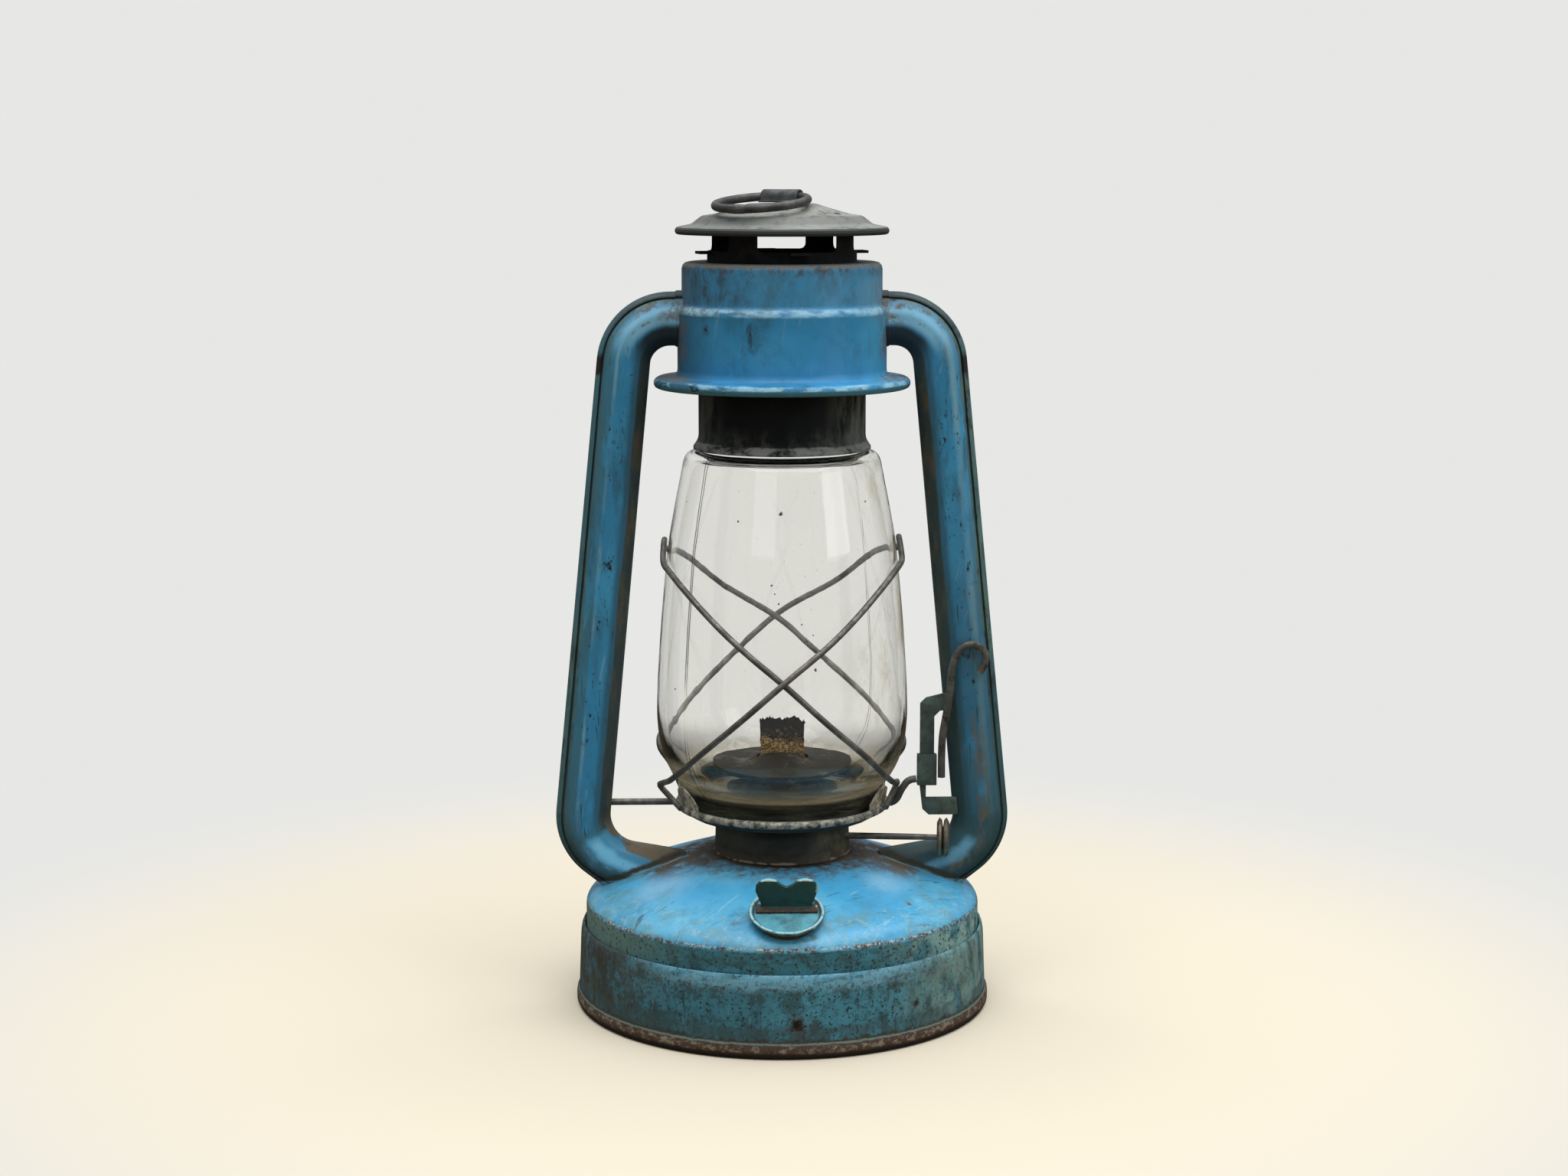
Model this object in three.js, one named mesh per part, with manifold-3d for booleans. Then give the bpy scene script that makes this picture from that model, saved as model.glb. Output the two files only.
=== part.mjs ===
// A kerosene lantern: pressed steel tank, two air tubes, a drum with a sprung hood, a glass globe that
// lifts on its wire carrier, and a flat wick burner. Millimetres, +Z up. The origin is the centre of the
// foot's underside, the front is -Y, and the globe lift is on the +X side.
import * as THREE from "three";
import { mergeVertices } from "three/addons/utils/BufferGeometryUtils.js";
import Module from "manifold-3d";

// General
const gap = 0.3; // clearance between pieces that touch
const overrun = 3; // how far a cutter passes the face that it cuts
const weld = 0.0001; // vertices nearer than this are one
const sheet = 0.9; // pressed sheet of the tank, drum and cap
const thinSheet = 0.7; // sheet of the small pressings

// Tank
const footRadius = 79;
const footHeight = 5.6;
const footLand = 2.2; // width of the ring that the lantern stands on
const footRoll = 1.1; // rounding of the foot bead
const floorRecess = 3.4;
const cupFootStep = 1; // foot bead outside the cup's wall
const cupTaper = 0.8; // cup's wall from its foot to its rounding
const cupLipStep = 1; // rounding at the cup's lip
const cupHeight = 30.7;
const cupRounding = 5;
const bandHeight = 8.2; // upright band of the upper shell that shows above the cup
const bandNest = 4.2; // how far the band reaches down into the cup
const shoulderDrop = 5.4;
const shoulderReach = 5;
const domeRise = 18.7; // from the top of the band to the crown
const crownRadius = 26;
const crownHoleRadius = 20.5; // the burner stands on the ring round it
const crownEaseShare = 0.26; // how far out the crown stays level
const lidRise = 1.6; // tank lid above the cup's lip

// Filler
const fillerShare = 0.827; // filler's place on the dome, from the axis to the band
const fillerTilt = 21; // degrees forward
const neckRadius = 10.8;
const neckStand = 0.9;
const washerHeight = 0.8;
const washerWidth = 2.2;
const plugDepth = 5; // threaded plug of the cap inside the neck
const capRadius = 13.8;
const capBead = 0.9; // radius of the cap's rolled rim
const capRecess = 1; // rim above the recessed disc
const wingWidth = 22.5;
const wingHeight = 12.7;
const wingSheet = 1.4;
const wingFoot = 2.6; // ledge in front of the wing
const wingSetback = 2; // wing behind the cap's middle

// Burner
const burnerTurn = -5.9; // degrees about the lantern's axis
const collarRadius = 25.5;
const collarHeight = 14.3;
const collarFlare = 0.7;
const basketRadius = 23.4;
const basketRise = 17; // basket above the collar
const basketHoleRadius = 1.8;
const basketHoles = 10;
const waistRadius = 14.6; // basket above the globe plate
const coneRadius = 27;
const coneHeight = 5.9;
const coneDomeRadius = 13.6;
const coneLip = 0.9;
const wickWidth = 16;
const wickThickness = 2;
const wickRaise = 15.1; // wick above the cone
const wickDepth = 12; // wick below the tank lid
const wickTubeWall = 0.5;
const slotLength = 20;
const slotWidth = 5.4;
const spurRadius = 4.9;
const spurThickness = 0.9;
const spurTeeth = 12;
const spurToothShare = 0.82; // root radius over tip radius
const spurSpacing = 8;
const shaftRadius = 1.35;
const shaftRise = 7; // shaft's middle above the collar's foot
const shaftTail = 8; // shaft beyond the wick's centre on the far side
const knobRadius = 7.6;
const knobLayer = 1.9; // thickness of each pressed layer
const knobDish = 0.8;
const knobReach = 64.2; // from the wick's centre to the knob's far side

// Globe and its carrier
const globeRadius = 47.5;
const globeHeight = 138;
const globeWall = 2;
const plateRimRadius = 40.7;
const plateBead = 1.3;
const plateDish = 4; // floor below the rim's middle
const plateSeatClearance = 0.6;
const plateSlotWidth = 4.6;
const plateSlotSpread = 52; // degrees of each slot
const plateSlotTurn = 38; // degrees from the side to the middle of each slot
const earHeight = 8.6;
const earWidth = 20;
const earLean = 1.5; // top of each ear outside its foot
const earTurn = 20; // degrees from the side to the middle of each ear
const guardWire = 2.3;
const guardCornerReach = 3.2; // guard corners beyond the plate's rim
const guardLift = 2; // how much higher the outer wire runs across the middle
const guardSpread = 3.8; // how much further the left foot corner stands out
const guardTopHeight = 101; // above the globe's foot
const guardCrest = 5; // crest of the top corner above the wire beside it
const guardCrossHeight = 56.5;
const guardRearCrossHeight = 65.5;
const guardFootHeight = 10.6;
const guardRearFootHeight = 24;
const guardSeatTurn = 24; // degrees from the side to the wire's ends
const rodRadius = 1.3;
const rodEntry = 1.8; // rod inside the left tube
const liftTravel = 14;
const armRadius = 1.4;
const armRise = 9.3;
const leverRadius = 1.4;
const leverHeight = 56; // slider's foot to the top of the hook
const leverReach = 16.2; // from the slider to the hook's far side

// Drum
const drumUpperRadius = 37.3;
const drumLowerRadius = 39;
const drumHeight = 46.6;
const drumStepHeight = 26.9; // flange's underside to the foot of the step
const drumStepRise = 3.8;
const drumRounding = 2.4;
const flangeRadius = 47.9;
const flangeRim = 4.2; // height of the flange's rolled rim
const flangeFall = 0.5;
const flangeLip = 2; // roll under the floor plate
const drumClearance = 22.7; // hood skirt's edge to the flange's underside

// Air tubes
const tubeHalfWidth = 9.9;
const tubeHalfDepth = 7.2;
const tubeBevel = 4.1;
const tubeCrease = 1;
const tubeCreaseShare = 0.62; // where the crease runs, from the inner edge to the outer
const tubeBend = 17.5;
const tubeStub = 4.3; // straight stub outside the drum
const tubeEntry = 1.2; // stub inside the drum
const tubeStubHeight = 25.6; // flange's underside to the stub's middle
const tubeOuterBend = 27.8; // lower bend along the tube's outer edge
const tubeOuterReach = 58.4; // its centre from the lantern's axis
const tubeOuterRise = 13.9; // its centre above the crown
const tubeOuterDip = 38; // degrees below level where it enters the dome
const tubeInnerBend = 11; // the same along the inner edge
const tubeInnerReach = 54.6;
const tubeInnerRise = 13.6;
const tubeInnerDip = 10;
const tubeTip = 38.6; // axis to the lower end's tip
const seamFin = 0.5;
const seamFinThickness = 1;

// Lift bracket on the right tube, slider and left guide lip
const bracketSheet = 1.2;
const bracketStandShare = 0.52; // how far forward of the tube's middle the bracket lies
const bracketReach = 12.7; // guide strip's outer edge from the tube's inner edge at the foot
const stripWidth = 5.4;
const stripFootWidth = 2.4; // strip below the slider
const bracketArm = 7.6;
const bracketFootArm = 6.8;
const bracketFootRise = 2.2; // top of the foot arm above the globe plate's rim
const bracketOpening = 33.6;
const bracketCorner = 2.2;
const bracketTopFall = 2.6; // top arm's slope
const sliderHeight = 12;
const sliderRise = 4.8; // slider's foot above the bracket's foot arm
const lipHeight = 2.8;
const lipWidth = 1.1;
const lipReach = 1.6;
const lipRise = 3.2; // lip's foot above the rod

// Hood
const hoodTurn = -33; // degrees about the lantern's axis
const sleeveRadius = 31.25;
const sleeveLength = 28.4;
const skirtRadius = 33.2;
const skirtHeight = 3.6;
const skirtEdge = 0.8;
const chimneyRadius = 27.8;
const chimneyNest = 4; // chimney inside the sleeve
const windowSpread = 64; // degrees
const windows = 4;
const windowHeight = 9.6;
const windowRise = 4; // window's sill above the drum's deck
const windowCorner = 2;
const stopReach = 4.2;
const stopWidth = 9;
const stopSheet = 1;
const hoodCapRadius = 39.7;
const hoodCapHeight = 11.4;
const hoodCapRise = 6; // cap's edge above the windows' sill
const chimneyTopShare = 0.5; // chimney's top over the cap's height
const springWire = 1.8;
const springRadius = 30.2;
const springTurns = 5;
const ringRadius = 17;
const ringWire = 3.5;
const ringBar = 17.6; // straight part of the ring inside the strap
const ringTilt = 7.5; // degrees below level
const strapLength = 15.6;

// Outlines and routes, as shares of the sizes that they follow
const globeProfileShares = [
  [0.726, 0],
  [0.742, 0.045],
  [0.79, 0.07],
  [0.866, 0.1],
  [0.934, 0.144],
  [0.981, 0.198],
  [1, 0.27],
  [0.994, 0.36],
  [0.967, 0.509],
  [0.922, 0.677],
  [0.872, 0.803],
  [0.811, 0.908],
  [0.779, 0.962],
  [0.762, 0.987],
  [0.727, 0.9995],
];
const globeMouthShare = 0.65;
const globeLipShare = 0.62;
const hoodCapProfileShares = [
  [0.31, 1],
  [0.365, 0.94],
  [0.64, 0.65],
  [0.755, 0.59],
  [0.85, 0.345],
  [0.98, 0.25],
  [1, 0.19],
];
const wingShares = [
  [0.43, 0],
  [0.41, 0.14],
  [0.455, 0.38],
  [0.5, 0.6],
  [0.495, 0.78],
  [0.43, 0.93],
  [0.3, 1],
  [0.17, 0.95],
  [0.08, 0.8],
  [0, 0.72],
];
const armRouteShares = [
  [0, 0],
  [0.23, 0.12],
  [0.46, 0.58],
  [0.72, 0.93],
  [1, 1],
];
const leverRouteShares = [
  [0, 0, 0.06],
  [0, 0, 0.21],
  [0.015, 0.35, 0.357],
  [0.067, 0.7, 0.467],
  [0.125, 1, 0.576],
  [0.178, 1, 0.707],
  [0.206, 1, 0.812],
  [0.27, 1, 0.89],
  [0.392, 1, 0.955],
  [0.658, 1, 0.988],
  [0.904, 1, 0.955],
  [0.986, 1, 0.902],
  [0.953, 1, 0.85],
  [0.844, 1, 0.795],
];
const guardStationShares = [0.93, 0.8, 0.62, 0.42, 0.2, 0, -0.2, -0.42, -0.62, -0.8, -0.93];
const guardBulgeShare = 0.5;
const guardLegShares = [0.75, 0.5, 0.25];

// Steps of round shapes
const bigSteps = 32;
const smallSteps = 24;
const wireSides = 8;
const thinWireSides = 6;
const bendSteps = 7;
const curveSteps = 4;
const coilSteps = 12;
const guardSteps = 50;
const ringSteps = 26;
const leverSteps = 26;

// Radii and heights worked out from the sizes above
const cupFootRadius = footRadius - cupFootStep;
const cupRadius = cupFootRadius - cupTaper;
const cupLipRadius = cupRadius - cupLipStep;
const bandRadius = cupLipRadius - sheet - gap;
const fillerOffset = fillerShare * bandRadius;
const bandTop = cupHeight + bandHeight;
const crownTop = bandTop + domeRise;
const lidTop = cupHeight + lidRise;
const collarFoot = crownTop + gap;
const collarTop = collarFoot + collarHeight;
const plateFloor = collarTop + gap;
const globeFoot = plateFloor + sheet + gap;
const plateRim = plateFloor + plateDish;
const globeTop = globeFoot + globeHeight;
const skirtFoot = globeTop + gap;
const sleeveTop = skirtFoot + sleeveLength;
const drumFoot = skirtFoot + drumClearance;
const drumTop = drumFoot + drumHeight;
const sillHeight = drumTop + windowRise;
const hoodCapFoot = sillHeight + hoodCapRise;
const hoodCapTop = hoodCapFoot + hoodCapHeight;
const basketTop = collarTop + basketRise;
const coneFoot = basketTop + gap;
const coneTop = coneFoot + coneHeight;
const wickTop = coneTop + wickRaise;
const shaftHeight = collarFoot + shaftRise;
const shaftOffset = wickThickness / 2 + gap + spurRadius;

const radians = THREE.MathUtils.degToRad;
const point = (x, y, z) => new THREE.Vector3(x, y, z);

const wasm = await Module();
wasm.setup();

// A closed geometry as a solid, turned inside out if its faces point in.
function solid(geometry) {
  const bare = geometry.clone();
  bare.deleteAttribute("normal");
  bare.deleteAttribute("uv");
  const merged = mergeVertices(bare, weld);
  const corners = [];
  const index = merged.index.array;
  for (let i = 0; i < index.length; i += 3) {
    const [a, b, c] = [index[i], index[i + 1], index[i + 2]];
    if (a !== b && b !== c && c !== a) corners.push(a, b, c);
  }
  const build = (triVerts) =>
    new wasm.Manifold(
      new wasm.Mesh({
        numProp: 3,
        vertProperties: merged.attributes.position.array,
        triVerts: new Uint32Array(triVerts),
      }),
    );
  const made = build(corners);
  return made.volume() < 0 ? build(corners.reverse()) : made;
}

function join(first, ...others) {
  return others.reduce((whole, other) => whole.add(other), first);
}

function cut(first, ...cutters) {
  return cutters.reduce((whole, cutter) => whole.subtract(cutter), first);
}

function geometryOf(body) {
  const { vertProperties, triVerts } = body.getMesh();
  const geometry = new THREE.BufferGeometry();
  geometry.setAttribute("position", new THREE.BufferAttribute(vertProperties, 3));
  geometry.setIndex(new THREE.BufferAttribute(triVerts, 1));
  const faceted = geometry.toNonIndexed();
  faceted.computeVertexNormals();
  return faceted;
}

// A profile of [radius, height] points turned about Z. It closes on itself, or starts and ends on the axis.
function turned(profile, steps = bigSteps) {
  const onAxis = profile[0][0] === 0 && profile[profile.length - 1][0] === 0;
  const closed = onAxis ? profile : [...profile, profile[0]];
  const points = closed.map(([radius, height]) => new THREE.Vector2(radius, height));
  return solid(new THREE.LatheGeometry(points, steps).rotateX(Math.PI / 2));
}

// A block from one corner to the other.
function block(low, high) {
  const size = low.map((value, axis) => high[axis] - value);
  const middle = low.map((value, axis) => (high[axis] + value) / 2);
  return solid(new THREE.BoxGeometry(...size).translate(...middle));
}

// A cylinder between two points.
function bar(from, to, radius, sides = wireSides) {
  const along = to.clone().sub(from);
  const geometry = new THREE.CylinderGeometry(radius, radius, along.length(), sides);
  const turn = new THREE.Quaternion().setFromUnitVectors(point(0, 1, 0), along.clone().normalize());
  const middle = from.clone().add(to).divideScalar(2);
  return solid(geometry.applyQuaternion(turn).translate(middle.x, middle.y, middle.z));
}

// A path with one ring of the swept outline at each of its stations.
class Route extends THREE.Curve {
  constructor(stations) {
    super();
    this.stations = stations;
  }
  getPoint(t) {
    return this.stations[Math.round(t * (this.stations.length - 1))].clone();
  }
  getPointAt(u) {
    return this.getPoint(u);
  }
  getSpacedPoints(divisions) {
    return this.getPoints(divisions);
  }
  getTangentAt(u) {
    const last = this.stations.length - 1;
    const here = Math.round(u * last);
    const before = this.stations[Math.max(here - 1, 0)];
    const after = this.stations[Math.min(here + 1, last)];
    return after.clone().sub(before).normalize();
  }
}

function swept(stations, outline) {
  const shape = new THREE.Shape(outline.map(([x, y]) => new THREE.Vector2(x, y)));
  const options = { steps: stations.length - 1, extrudePath: new Route(stations) };
  return solid(new THREE.ExtrudeGeometry(shape, options));
}

function roundOutline(radius, sides) {
  return Array.from({ length: sides }, (_, i) => {
    const angle = (2 * Math.PI * i) / sides;
    return [radius * Math.cos(angle), radius * Math.sin(angle)];
  });
}

function wire(points, radius, steps, sides = wireSides) {
  const stations = new THREE.CatmullRomCurve3(points, false, "centripetal").getSpacedPoints(steps);
  return swept(stations, roundOutline(radius, sides));
}

// An outline in the XZ plane, drawn out along Y from yLow to yHigh.
function upright(outline, yLow, yHigh) {
  const shape = new THREE.Shape(outline.map(([x, z]) => new THREE.Vector2(x, z)));
  const options = { depth: yHigh - yLow, bevelEnabled: false };
  return solid(new THREE.ExtrudeGeometry(shape, options).rotateX(Math.PI / 2).translate(0, yHigh, 0));
}

function bezier(from, control, to, steps = curveSteps) {
  const [a, b, c] = [from, control, to].map(([x, y]) => new THREE.Vector2(x, y));
  return new THREE.QuadraticBezierCurve(a, b, c).getPoints(steps).map((p) => [p.x, p.y]);
}

// Height or radius between the points of a list, by its first or second value.
function between(list, value, by = 0) {
  const rest = 1 - by;
  const i = list.findIndex((p, k) => k > 0 && (p[by] - value) * (list[k - 1][by] - value) <= 0);
  const [a, b] = i < 0 ? [list[list.length - 1], list[list.length - 1]] : [list[i - 1], list[i]];
  const share = a[by] === b[by] ? 0 : (value - a[by]) / (b[by] - a[by]);
  return a[rest] + share * (b[rest] - a[rest]);
}

// Materials
const finish = (color, roughness, metalness) => new THREE.MeshStandardMaterial({ color, roughness, metalness });
const domeBlue = finish(0x2f86b8, 0.45, 0.3);
const bandBlue = finish(0x33616c, 0.55, 0.3);
const drumBlue = finish(0x25628f, 0.45, 0.3);
const tubeBlue = finish(0x3c7896, 0.5, 0.3);
const capGrey = finish(0x7b7b79, 0.7, 0.4);
const soot = finish(0x15181a, 0.8, 0.2);
const wireGrey = finish(0x4a4844, 0.55, 0.7);
const darkTeal = finish(0x1e3a3c, 0.6, 0.3);
const burnerBrown = finish(0x4b463c, 0.6, 0.6);
const knobSteel = finish(0xa5a096, 0.35, 0.9);
const wickCloth = finish(0x4d3b26, 0.95, 0);
const sealCork = finish(0x6b5236, 0.9, 0);
const plateSteel = finish(0x46525a, 0.5, 0.6);
const glassMaterial = new THREE.MeshStandardMaterial({
  color: 0xe8e6df,
  roughness: 0.05,
  metalness: 0,
  transparent: true,
  opacity: 0.3,
});

const lantern = new THREE.Group();
const carrier = new THREE.Group();
const hood = new THREE.Group();
hood.rotation.z = radians(hoodTurn);
const burner = new THREE.Group();
burner.rotation.z = radians(burnerTurn);
lantern.add(carrier, hood, burner);

function place(name, body, material, group = lantern) {
  const mesh = new THREE.Mesh(geometryOf(body), material);
  mesh.name = name;
  group.add(mesh);
}

// Tank shells

function domeProfile(rise, inset) {
  const top = crownTop + rise;
  const edge = bandRadius - inset;
  const bend = edge - shoulderReach;
  const ease = crownRadius + (bend - crownRadius) * crownEaseShare;
  const bendHeight = bandTop + shoulderDrop + rise;
  const crown = bezier([crownRadius, top], [ease, top], [bend, bendHeight]);
  const shoulder = bezier([bend, bendHeight], [edge, bendHeight - shoulderDrop / 2], [edge, bandTop + rise]);
  return [[crownHoleRadius, top], ...crown, ...shoulder.slice(1)];
}

const domeOuter = domeProfile(0, 0);
const domeHeight = (radius) => between(domeOuter, Math.max(radius, crownRadius));

function fountBase() {
  const landRadius = footRadius - footRoll;
  const wall = (radius, height) => [radius - sheet, height];
  return turned([
    [0, floorRecess],
    [landRadius - footLand, floorRecess],
    [landRadius - footLand, 0],
    [landRadius, 0],
    [footRadius, footRoll],
    [footRadius, footHeight - footRoll],
    [cupFootRadius, footHeight],
    [cupRadius, cupHeight - cupRounding],
    [(cupRadius + cupLipRadius) / 2, cupHeight - sheet],
    [cupLipRadius, cupHeight],
    wall(cupLipRadius, cupHeight),
    wall(cupLipRadius, cupHeight - cupRounding),
    wall(cupFootRadius, footHeight),
    [landRadius - footLand, floorRecess + sheet],
    [0, floorRecess + sheet],
  ]);
}

function fountTop() {
  const inner = domeProfile(-sheet, sheet).reverse();
  const bandFoot = cupHeight - bandNest;
  const shell = turned([
    ...domeOuter,
    [bandRadius, bandFoot],
    [bandRadius - sheet, bandFoot],
    ...inner,
  ]);
  const neckHole = aligned(turned(disc(neckRadius + gap, -fillerOffset, fillerOffset / 2), smallSteps));
  const crown = turned(disc(tubeTip + 2 * sheet, 0, drumFoot));
  const airHoles = [1, -1].map((side) => cut(tubeBody(side, 2 * sheet, overrun), crown));
  return cut(shell, neckHole, ...airHoles);
}

const disc = (radius, low, high) => [
  [0, low],
  [radius, low],
  [radius, high],
  [0, high],
];

const hoop = (inner, outer, low, high) => [
  [inner, low],
  [outer, low],
  [outer, high],
  [inner, high],
];

function tankLid() {
  const plate = turned(hoop(wickWidth / 2, bandRadius - sheet - gap, lidTop - sheet, lidTop));
  const core = turned(disc(wickWidth / 2 + overrun, lidTop - sheet, lidTop), smallSteps);
  const tubeHole = wickTubeBlock(gap).rotate(0, 0, burnerTurn);
  const neckHole = aligned(turned(disc(neckRadius + gap, -fillerOffset, fillerOffset / 2), smallSteps));
  return cut(join(plate, core), tubeHole, neckHole);
}

// Filler: its pieces are turned about the filler's own axis, from the dome's surface up.
const fillerSpot = point(0, -fillerOffset, domeHeight(fillerOffset));
const aligned = (body) =>
  body.rotate(fillerTilt, 0, 0).translate(fillerSpot.x, fillerSpot.y, fillerSpot.z);
const plugRadius = neckRadius - sheet - gap;
const washerFoot = neckStand + gap;
const capDiscFoot = washerFoot + washerHeight + gap;
const capDiscTop = capDiscFoot + thinSheet;
const capRimHeight = capDiscTop + capRecess - capBead;

function fillerNeck() {
  const foot = -(fillerSpot.z - lidTop + overrun / 2) / Math.cos(radians(fillerTilt));
  return aligned(turned(hoop(neckRadius - sheet, neckRadius, foot, neckStand), smallSteps));
}

function fillerWasher() {
  const inner = neckRadius - sheet;
  const profile = hoop(inner, inner + washerWidth, washerFoot, washerFoot + washerHeight);
  return aligned(turned(profile, smallSteps));
}

function fillerCap() {
  const beadMiddle = capRadius - capBead;
  const bead = roundOutline(capBead, wireSides).map(([x, y]) => [beadMiddle + x, capRimHeight + y]);
  const pan = turned(
    [
      [0, capDiscFoot],
      [plugRadius - thinSheet, capDiscFoot],
      [plugRadius - thinSheet, capDiscFoot - plugDepth],
      [plugRadius, capDiscFoot - plugDepth],
      [plugRadius, capDiscFoot],
      [beadMiddle, capDiscFoot],
      [beadMiddle, capDiscTop],
      [0, capDiscTop],
    ],
    smallSteps,
  );
  return aligned(join(pan, turned(bead, smallSteps)));
}

function fillerWing() {
  const foot = capDiscTop + gap;
  const half = wingShares.map(([x, z]) => [x * wingWidth, foot + z * wingHeight]);
  const mirrored = half.slice(0, -1).map(([x, z]) => [-x, z]).reverse();
  const back = wingSetback + wingSheet;
  const plate = upright([...half, ...mirrored], wingSetback, back);
  const footHalf = Math.sqrt((capRadius - 2 * capBead - gap) ** 2 - back ** 2);
  const ledge = block([-footHalf, wingSetback - wingFoot, foot], [footHalf, back, foot + thinSheet]);
  return aligned(join(plate, ledge));
}

// Burner, in its own turned group: the wick's flat faces look along its Y.

function wickTubeBlock(grow) {
  const halfWidth = wickWidth / 2 + gap + wickTubeWall + grow;
  const halfDepth = wickThickness / 2 + gap + wickTubeWall + grow;
  const foot = lidTop - sheet - overrun;
  return block([-halfWidth, -halfDepth, foot], [halfWidth, halfDepth, coneTop - coneHeight / 2]);
}

function wickTube() {
  const top = coneTop - coneHeight / 2;
  const halfWidth = wickWidth / 2 + gap;
  const halfDepth = wickThickness / 2 + gap;
  const bore = block([-halfWidth, -halfDepth, 0], [halfWidth, halfDepth, top + overrun]);
  const wheelSlots = spurPlaces().map((x) =>
    block(
      [x - spurThickness / 2 - gap, -halfDepth - overrun, shaftHeight - spurRadius],
      [x + spurThickness / 2 + gap, 0, shaftHeight + spurRadius],
    ),
  );
  return cut(wickTubeBlock(0), bore, ...wheelSlots);
}

function wick() {
  const halfWidth = wickWidth / 2;
  const halfDepth = wickThickness / 2;
  return block([-halfWidth, -halfDepth, lidTop - wickDepth], [halfWidth, halfDepth, wickTop]);
}

const spurPlaces = () => [-spurSpacing / 2, spurSpacing / 2];

function spurWheel(x) {
  const outline = Array.from({ length: 2 * spurTeeth }, (_, i) => {
    const angle = (Math.PI * i) / spurTeeth;
    const radius = i % 2 ? spurRadius * spurToothShare : spurRadius;
    return [radius * Math.cos(angle), radius * Math.sin(angle)];
  });
  const wheel = upright(outline, -spurThickness / 2, spurThickness / 2).rotate(0, 0, 90);
  const hub = bar(point(-spurThickness, 0, 0), point(spurThickness, 0, 0), shaftRadius + gap + sheet, smallSteps);
  const bore = bar(point(-overrun, 0, 0), point(overrun, 0, 0), shaftRadius + gap, smallSteps);
  return cut(join(wheel, hub), bore).translate(x, -shaftOffset, shaftHeight);
}

function wickShaft() {
  const from = point(-shaftTail, -shaftOffset, shaftHeight);
  return bar(from, point(knobReach, -shaftOffset, shaftHeight), shaftRadius, smallSteps / 2);
}

function wickKnob() {
  const bore = shaftRadius + gap;
  const thick = 2 * knobLayer + knobDish;
  const body = turned(
    [
      [bore, 0],
      [knobRadius - knobLayer, 0],
      [knobRadius, knobLayer / 2],
      [knobRadius - knobLayer / 2, knobLayer],
      [knobRadius - 2 * knobLayer, knobLayer + knobDish / 2],
      [knobRadius - knobLayer / 2, knobLayer + knobDish],
      [knobRadius, thick - knobLayer / 2],
      [knobRadius - knobLayer, thick],
      [bore, thick],
    ],
    smallSteps,
  );
  return body.rotate(0, 90, 0).translate(knobReach - thick - gap, -shaftOffset, shaftHeight);
}

function burnerCollar() {
  const inner = collarRadius - sheet;
  const ring = turned([
    [inner, collarFoot],
    [collarRadius + collarFlare, collarFoot],
    [collarRadius, collarFoot + collarHeight / 2],
    [collarRadius, collarTop],
    [inner, collarTop],
  ]);
  return cut(ring, shaftHole());
}

function shaftHole() {
  const from = point(0, -shaftOffset, shaftHeight);
  return bar(from, point(knobReach, -shaftOffset, shaftHeight), shaftRadius + gap, smallSteps / 2);
}

function burnerBasket() {
  const foot = collarFoot + gap;
  const waist = plateFloor + sheet;
  const shell = turned([
    [basketRadius - sheet, foot],
    [basketRadius, foot],
    [basketRadius, waist],
    [waistRadius, waist],
    [waistRadius, basketTop - sheet],
    [coneRadius - gap, basketTop - sheet],
    [coneRadius - gap, basketTop],
    [waistRadius - sheet, basketTop],
    [waistRadius - sheet, waist - sheet],
    [basketRadius - sheet, waist - sheet],
  ]);
  const holeReach = (basketRadius + waistRadius) / 2;
  const holes = Array.from({ length: basketHoles }, (_, i) => {
    const angle = (2 * Math.PI * i) / basketHoles;
    const low = point(holeReach * Math.cos(angle), holeReach * Math.sin(angle), waist - sheet - overrun);
    return bar(low, low.clone().setZ(waist + overrun), basketHoleRadius, thinWireSides);
  });
  const bridgeFoot = (plateRim + basketTop) / 2;
  const bridge = block(
    [-waistRadius + sheet / 2, -wickTubeReach() - sheet, bridgeFoot],
    [waistRadius - sheet / 2, wickTubeReach() + sheet, bridgeFoot + sheet],
  );
  const openedBridge = cut(bridge, wickTubeBlock(gap));
  return join(cut(shell, shaftHole(), ...holes), openedBridge);
}

const wickTubeReach = () => wickThickness / 2 + gap + wickTubeWall + gap;

function burnerCone() {
  const discTop = coneFoot + coneLip;
  const pull = [coneDomeRadius / 2, coneTop];
  const dome = bezier([coneDomeRadius, discTop], pull, [0, coneTop], curveSteps / 2);
  const hollow = bezier(
    [coneDomeRadius - sheet, discTop - sheet],
    [pull[0], coneTop - sheet],
    [0, coneTop - sheet],
    curveSteps / 2,
  );
  const cap = turned(
    [
      ...hollow.reverse(),
      [coneRadius - sheet, discTop - sheet],
      [coneRadius - sheet, coneFoot],
      [coneRadius, coneFoot],
      [coneRadius, discTop],
      ...dome,
    ],
    smallSteps,
  );
  const slot = block(
    [-slotLength / 2, -slotWidth / 2, coneTop - coneHeight],
    [slotLength / 2, slotWidth / 2, coneTop + overrun],
  );
  return cut(cap, slot);
}

// Air tubes: each lies between an outer edge and an inner edge, the one towards the globe. Side is 1 for
// the right tube and -1 for the left.
const stubHeight = drumFoot + tubeStubHeight;
const upperBend = [drumUpperRadius + tubeStub, stubHeight - tubeBend];

function arc([x, z], radius, from, to) {
  return Array.from({ length: bendSteps + 1 }, (_, i) => {
    const angle = from + ((to - from) * i) / bendSteps;
    return [x + radius * Math.cos(angle), z + radius * Math.sin(angle)];
  });
}

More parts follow.
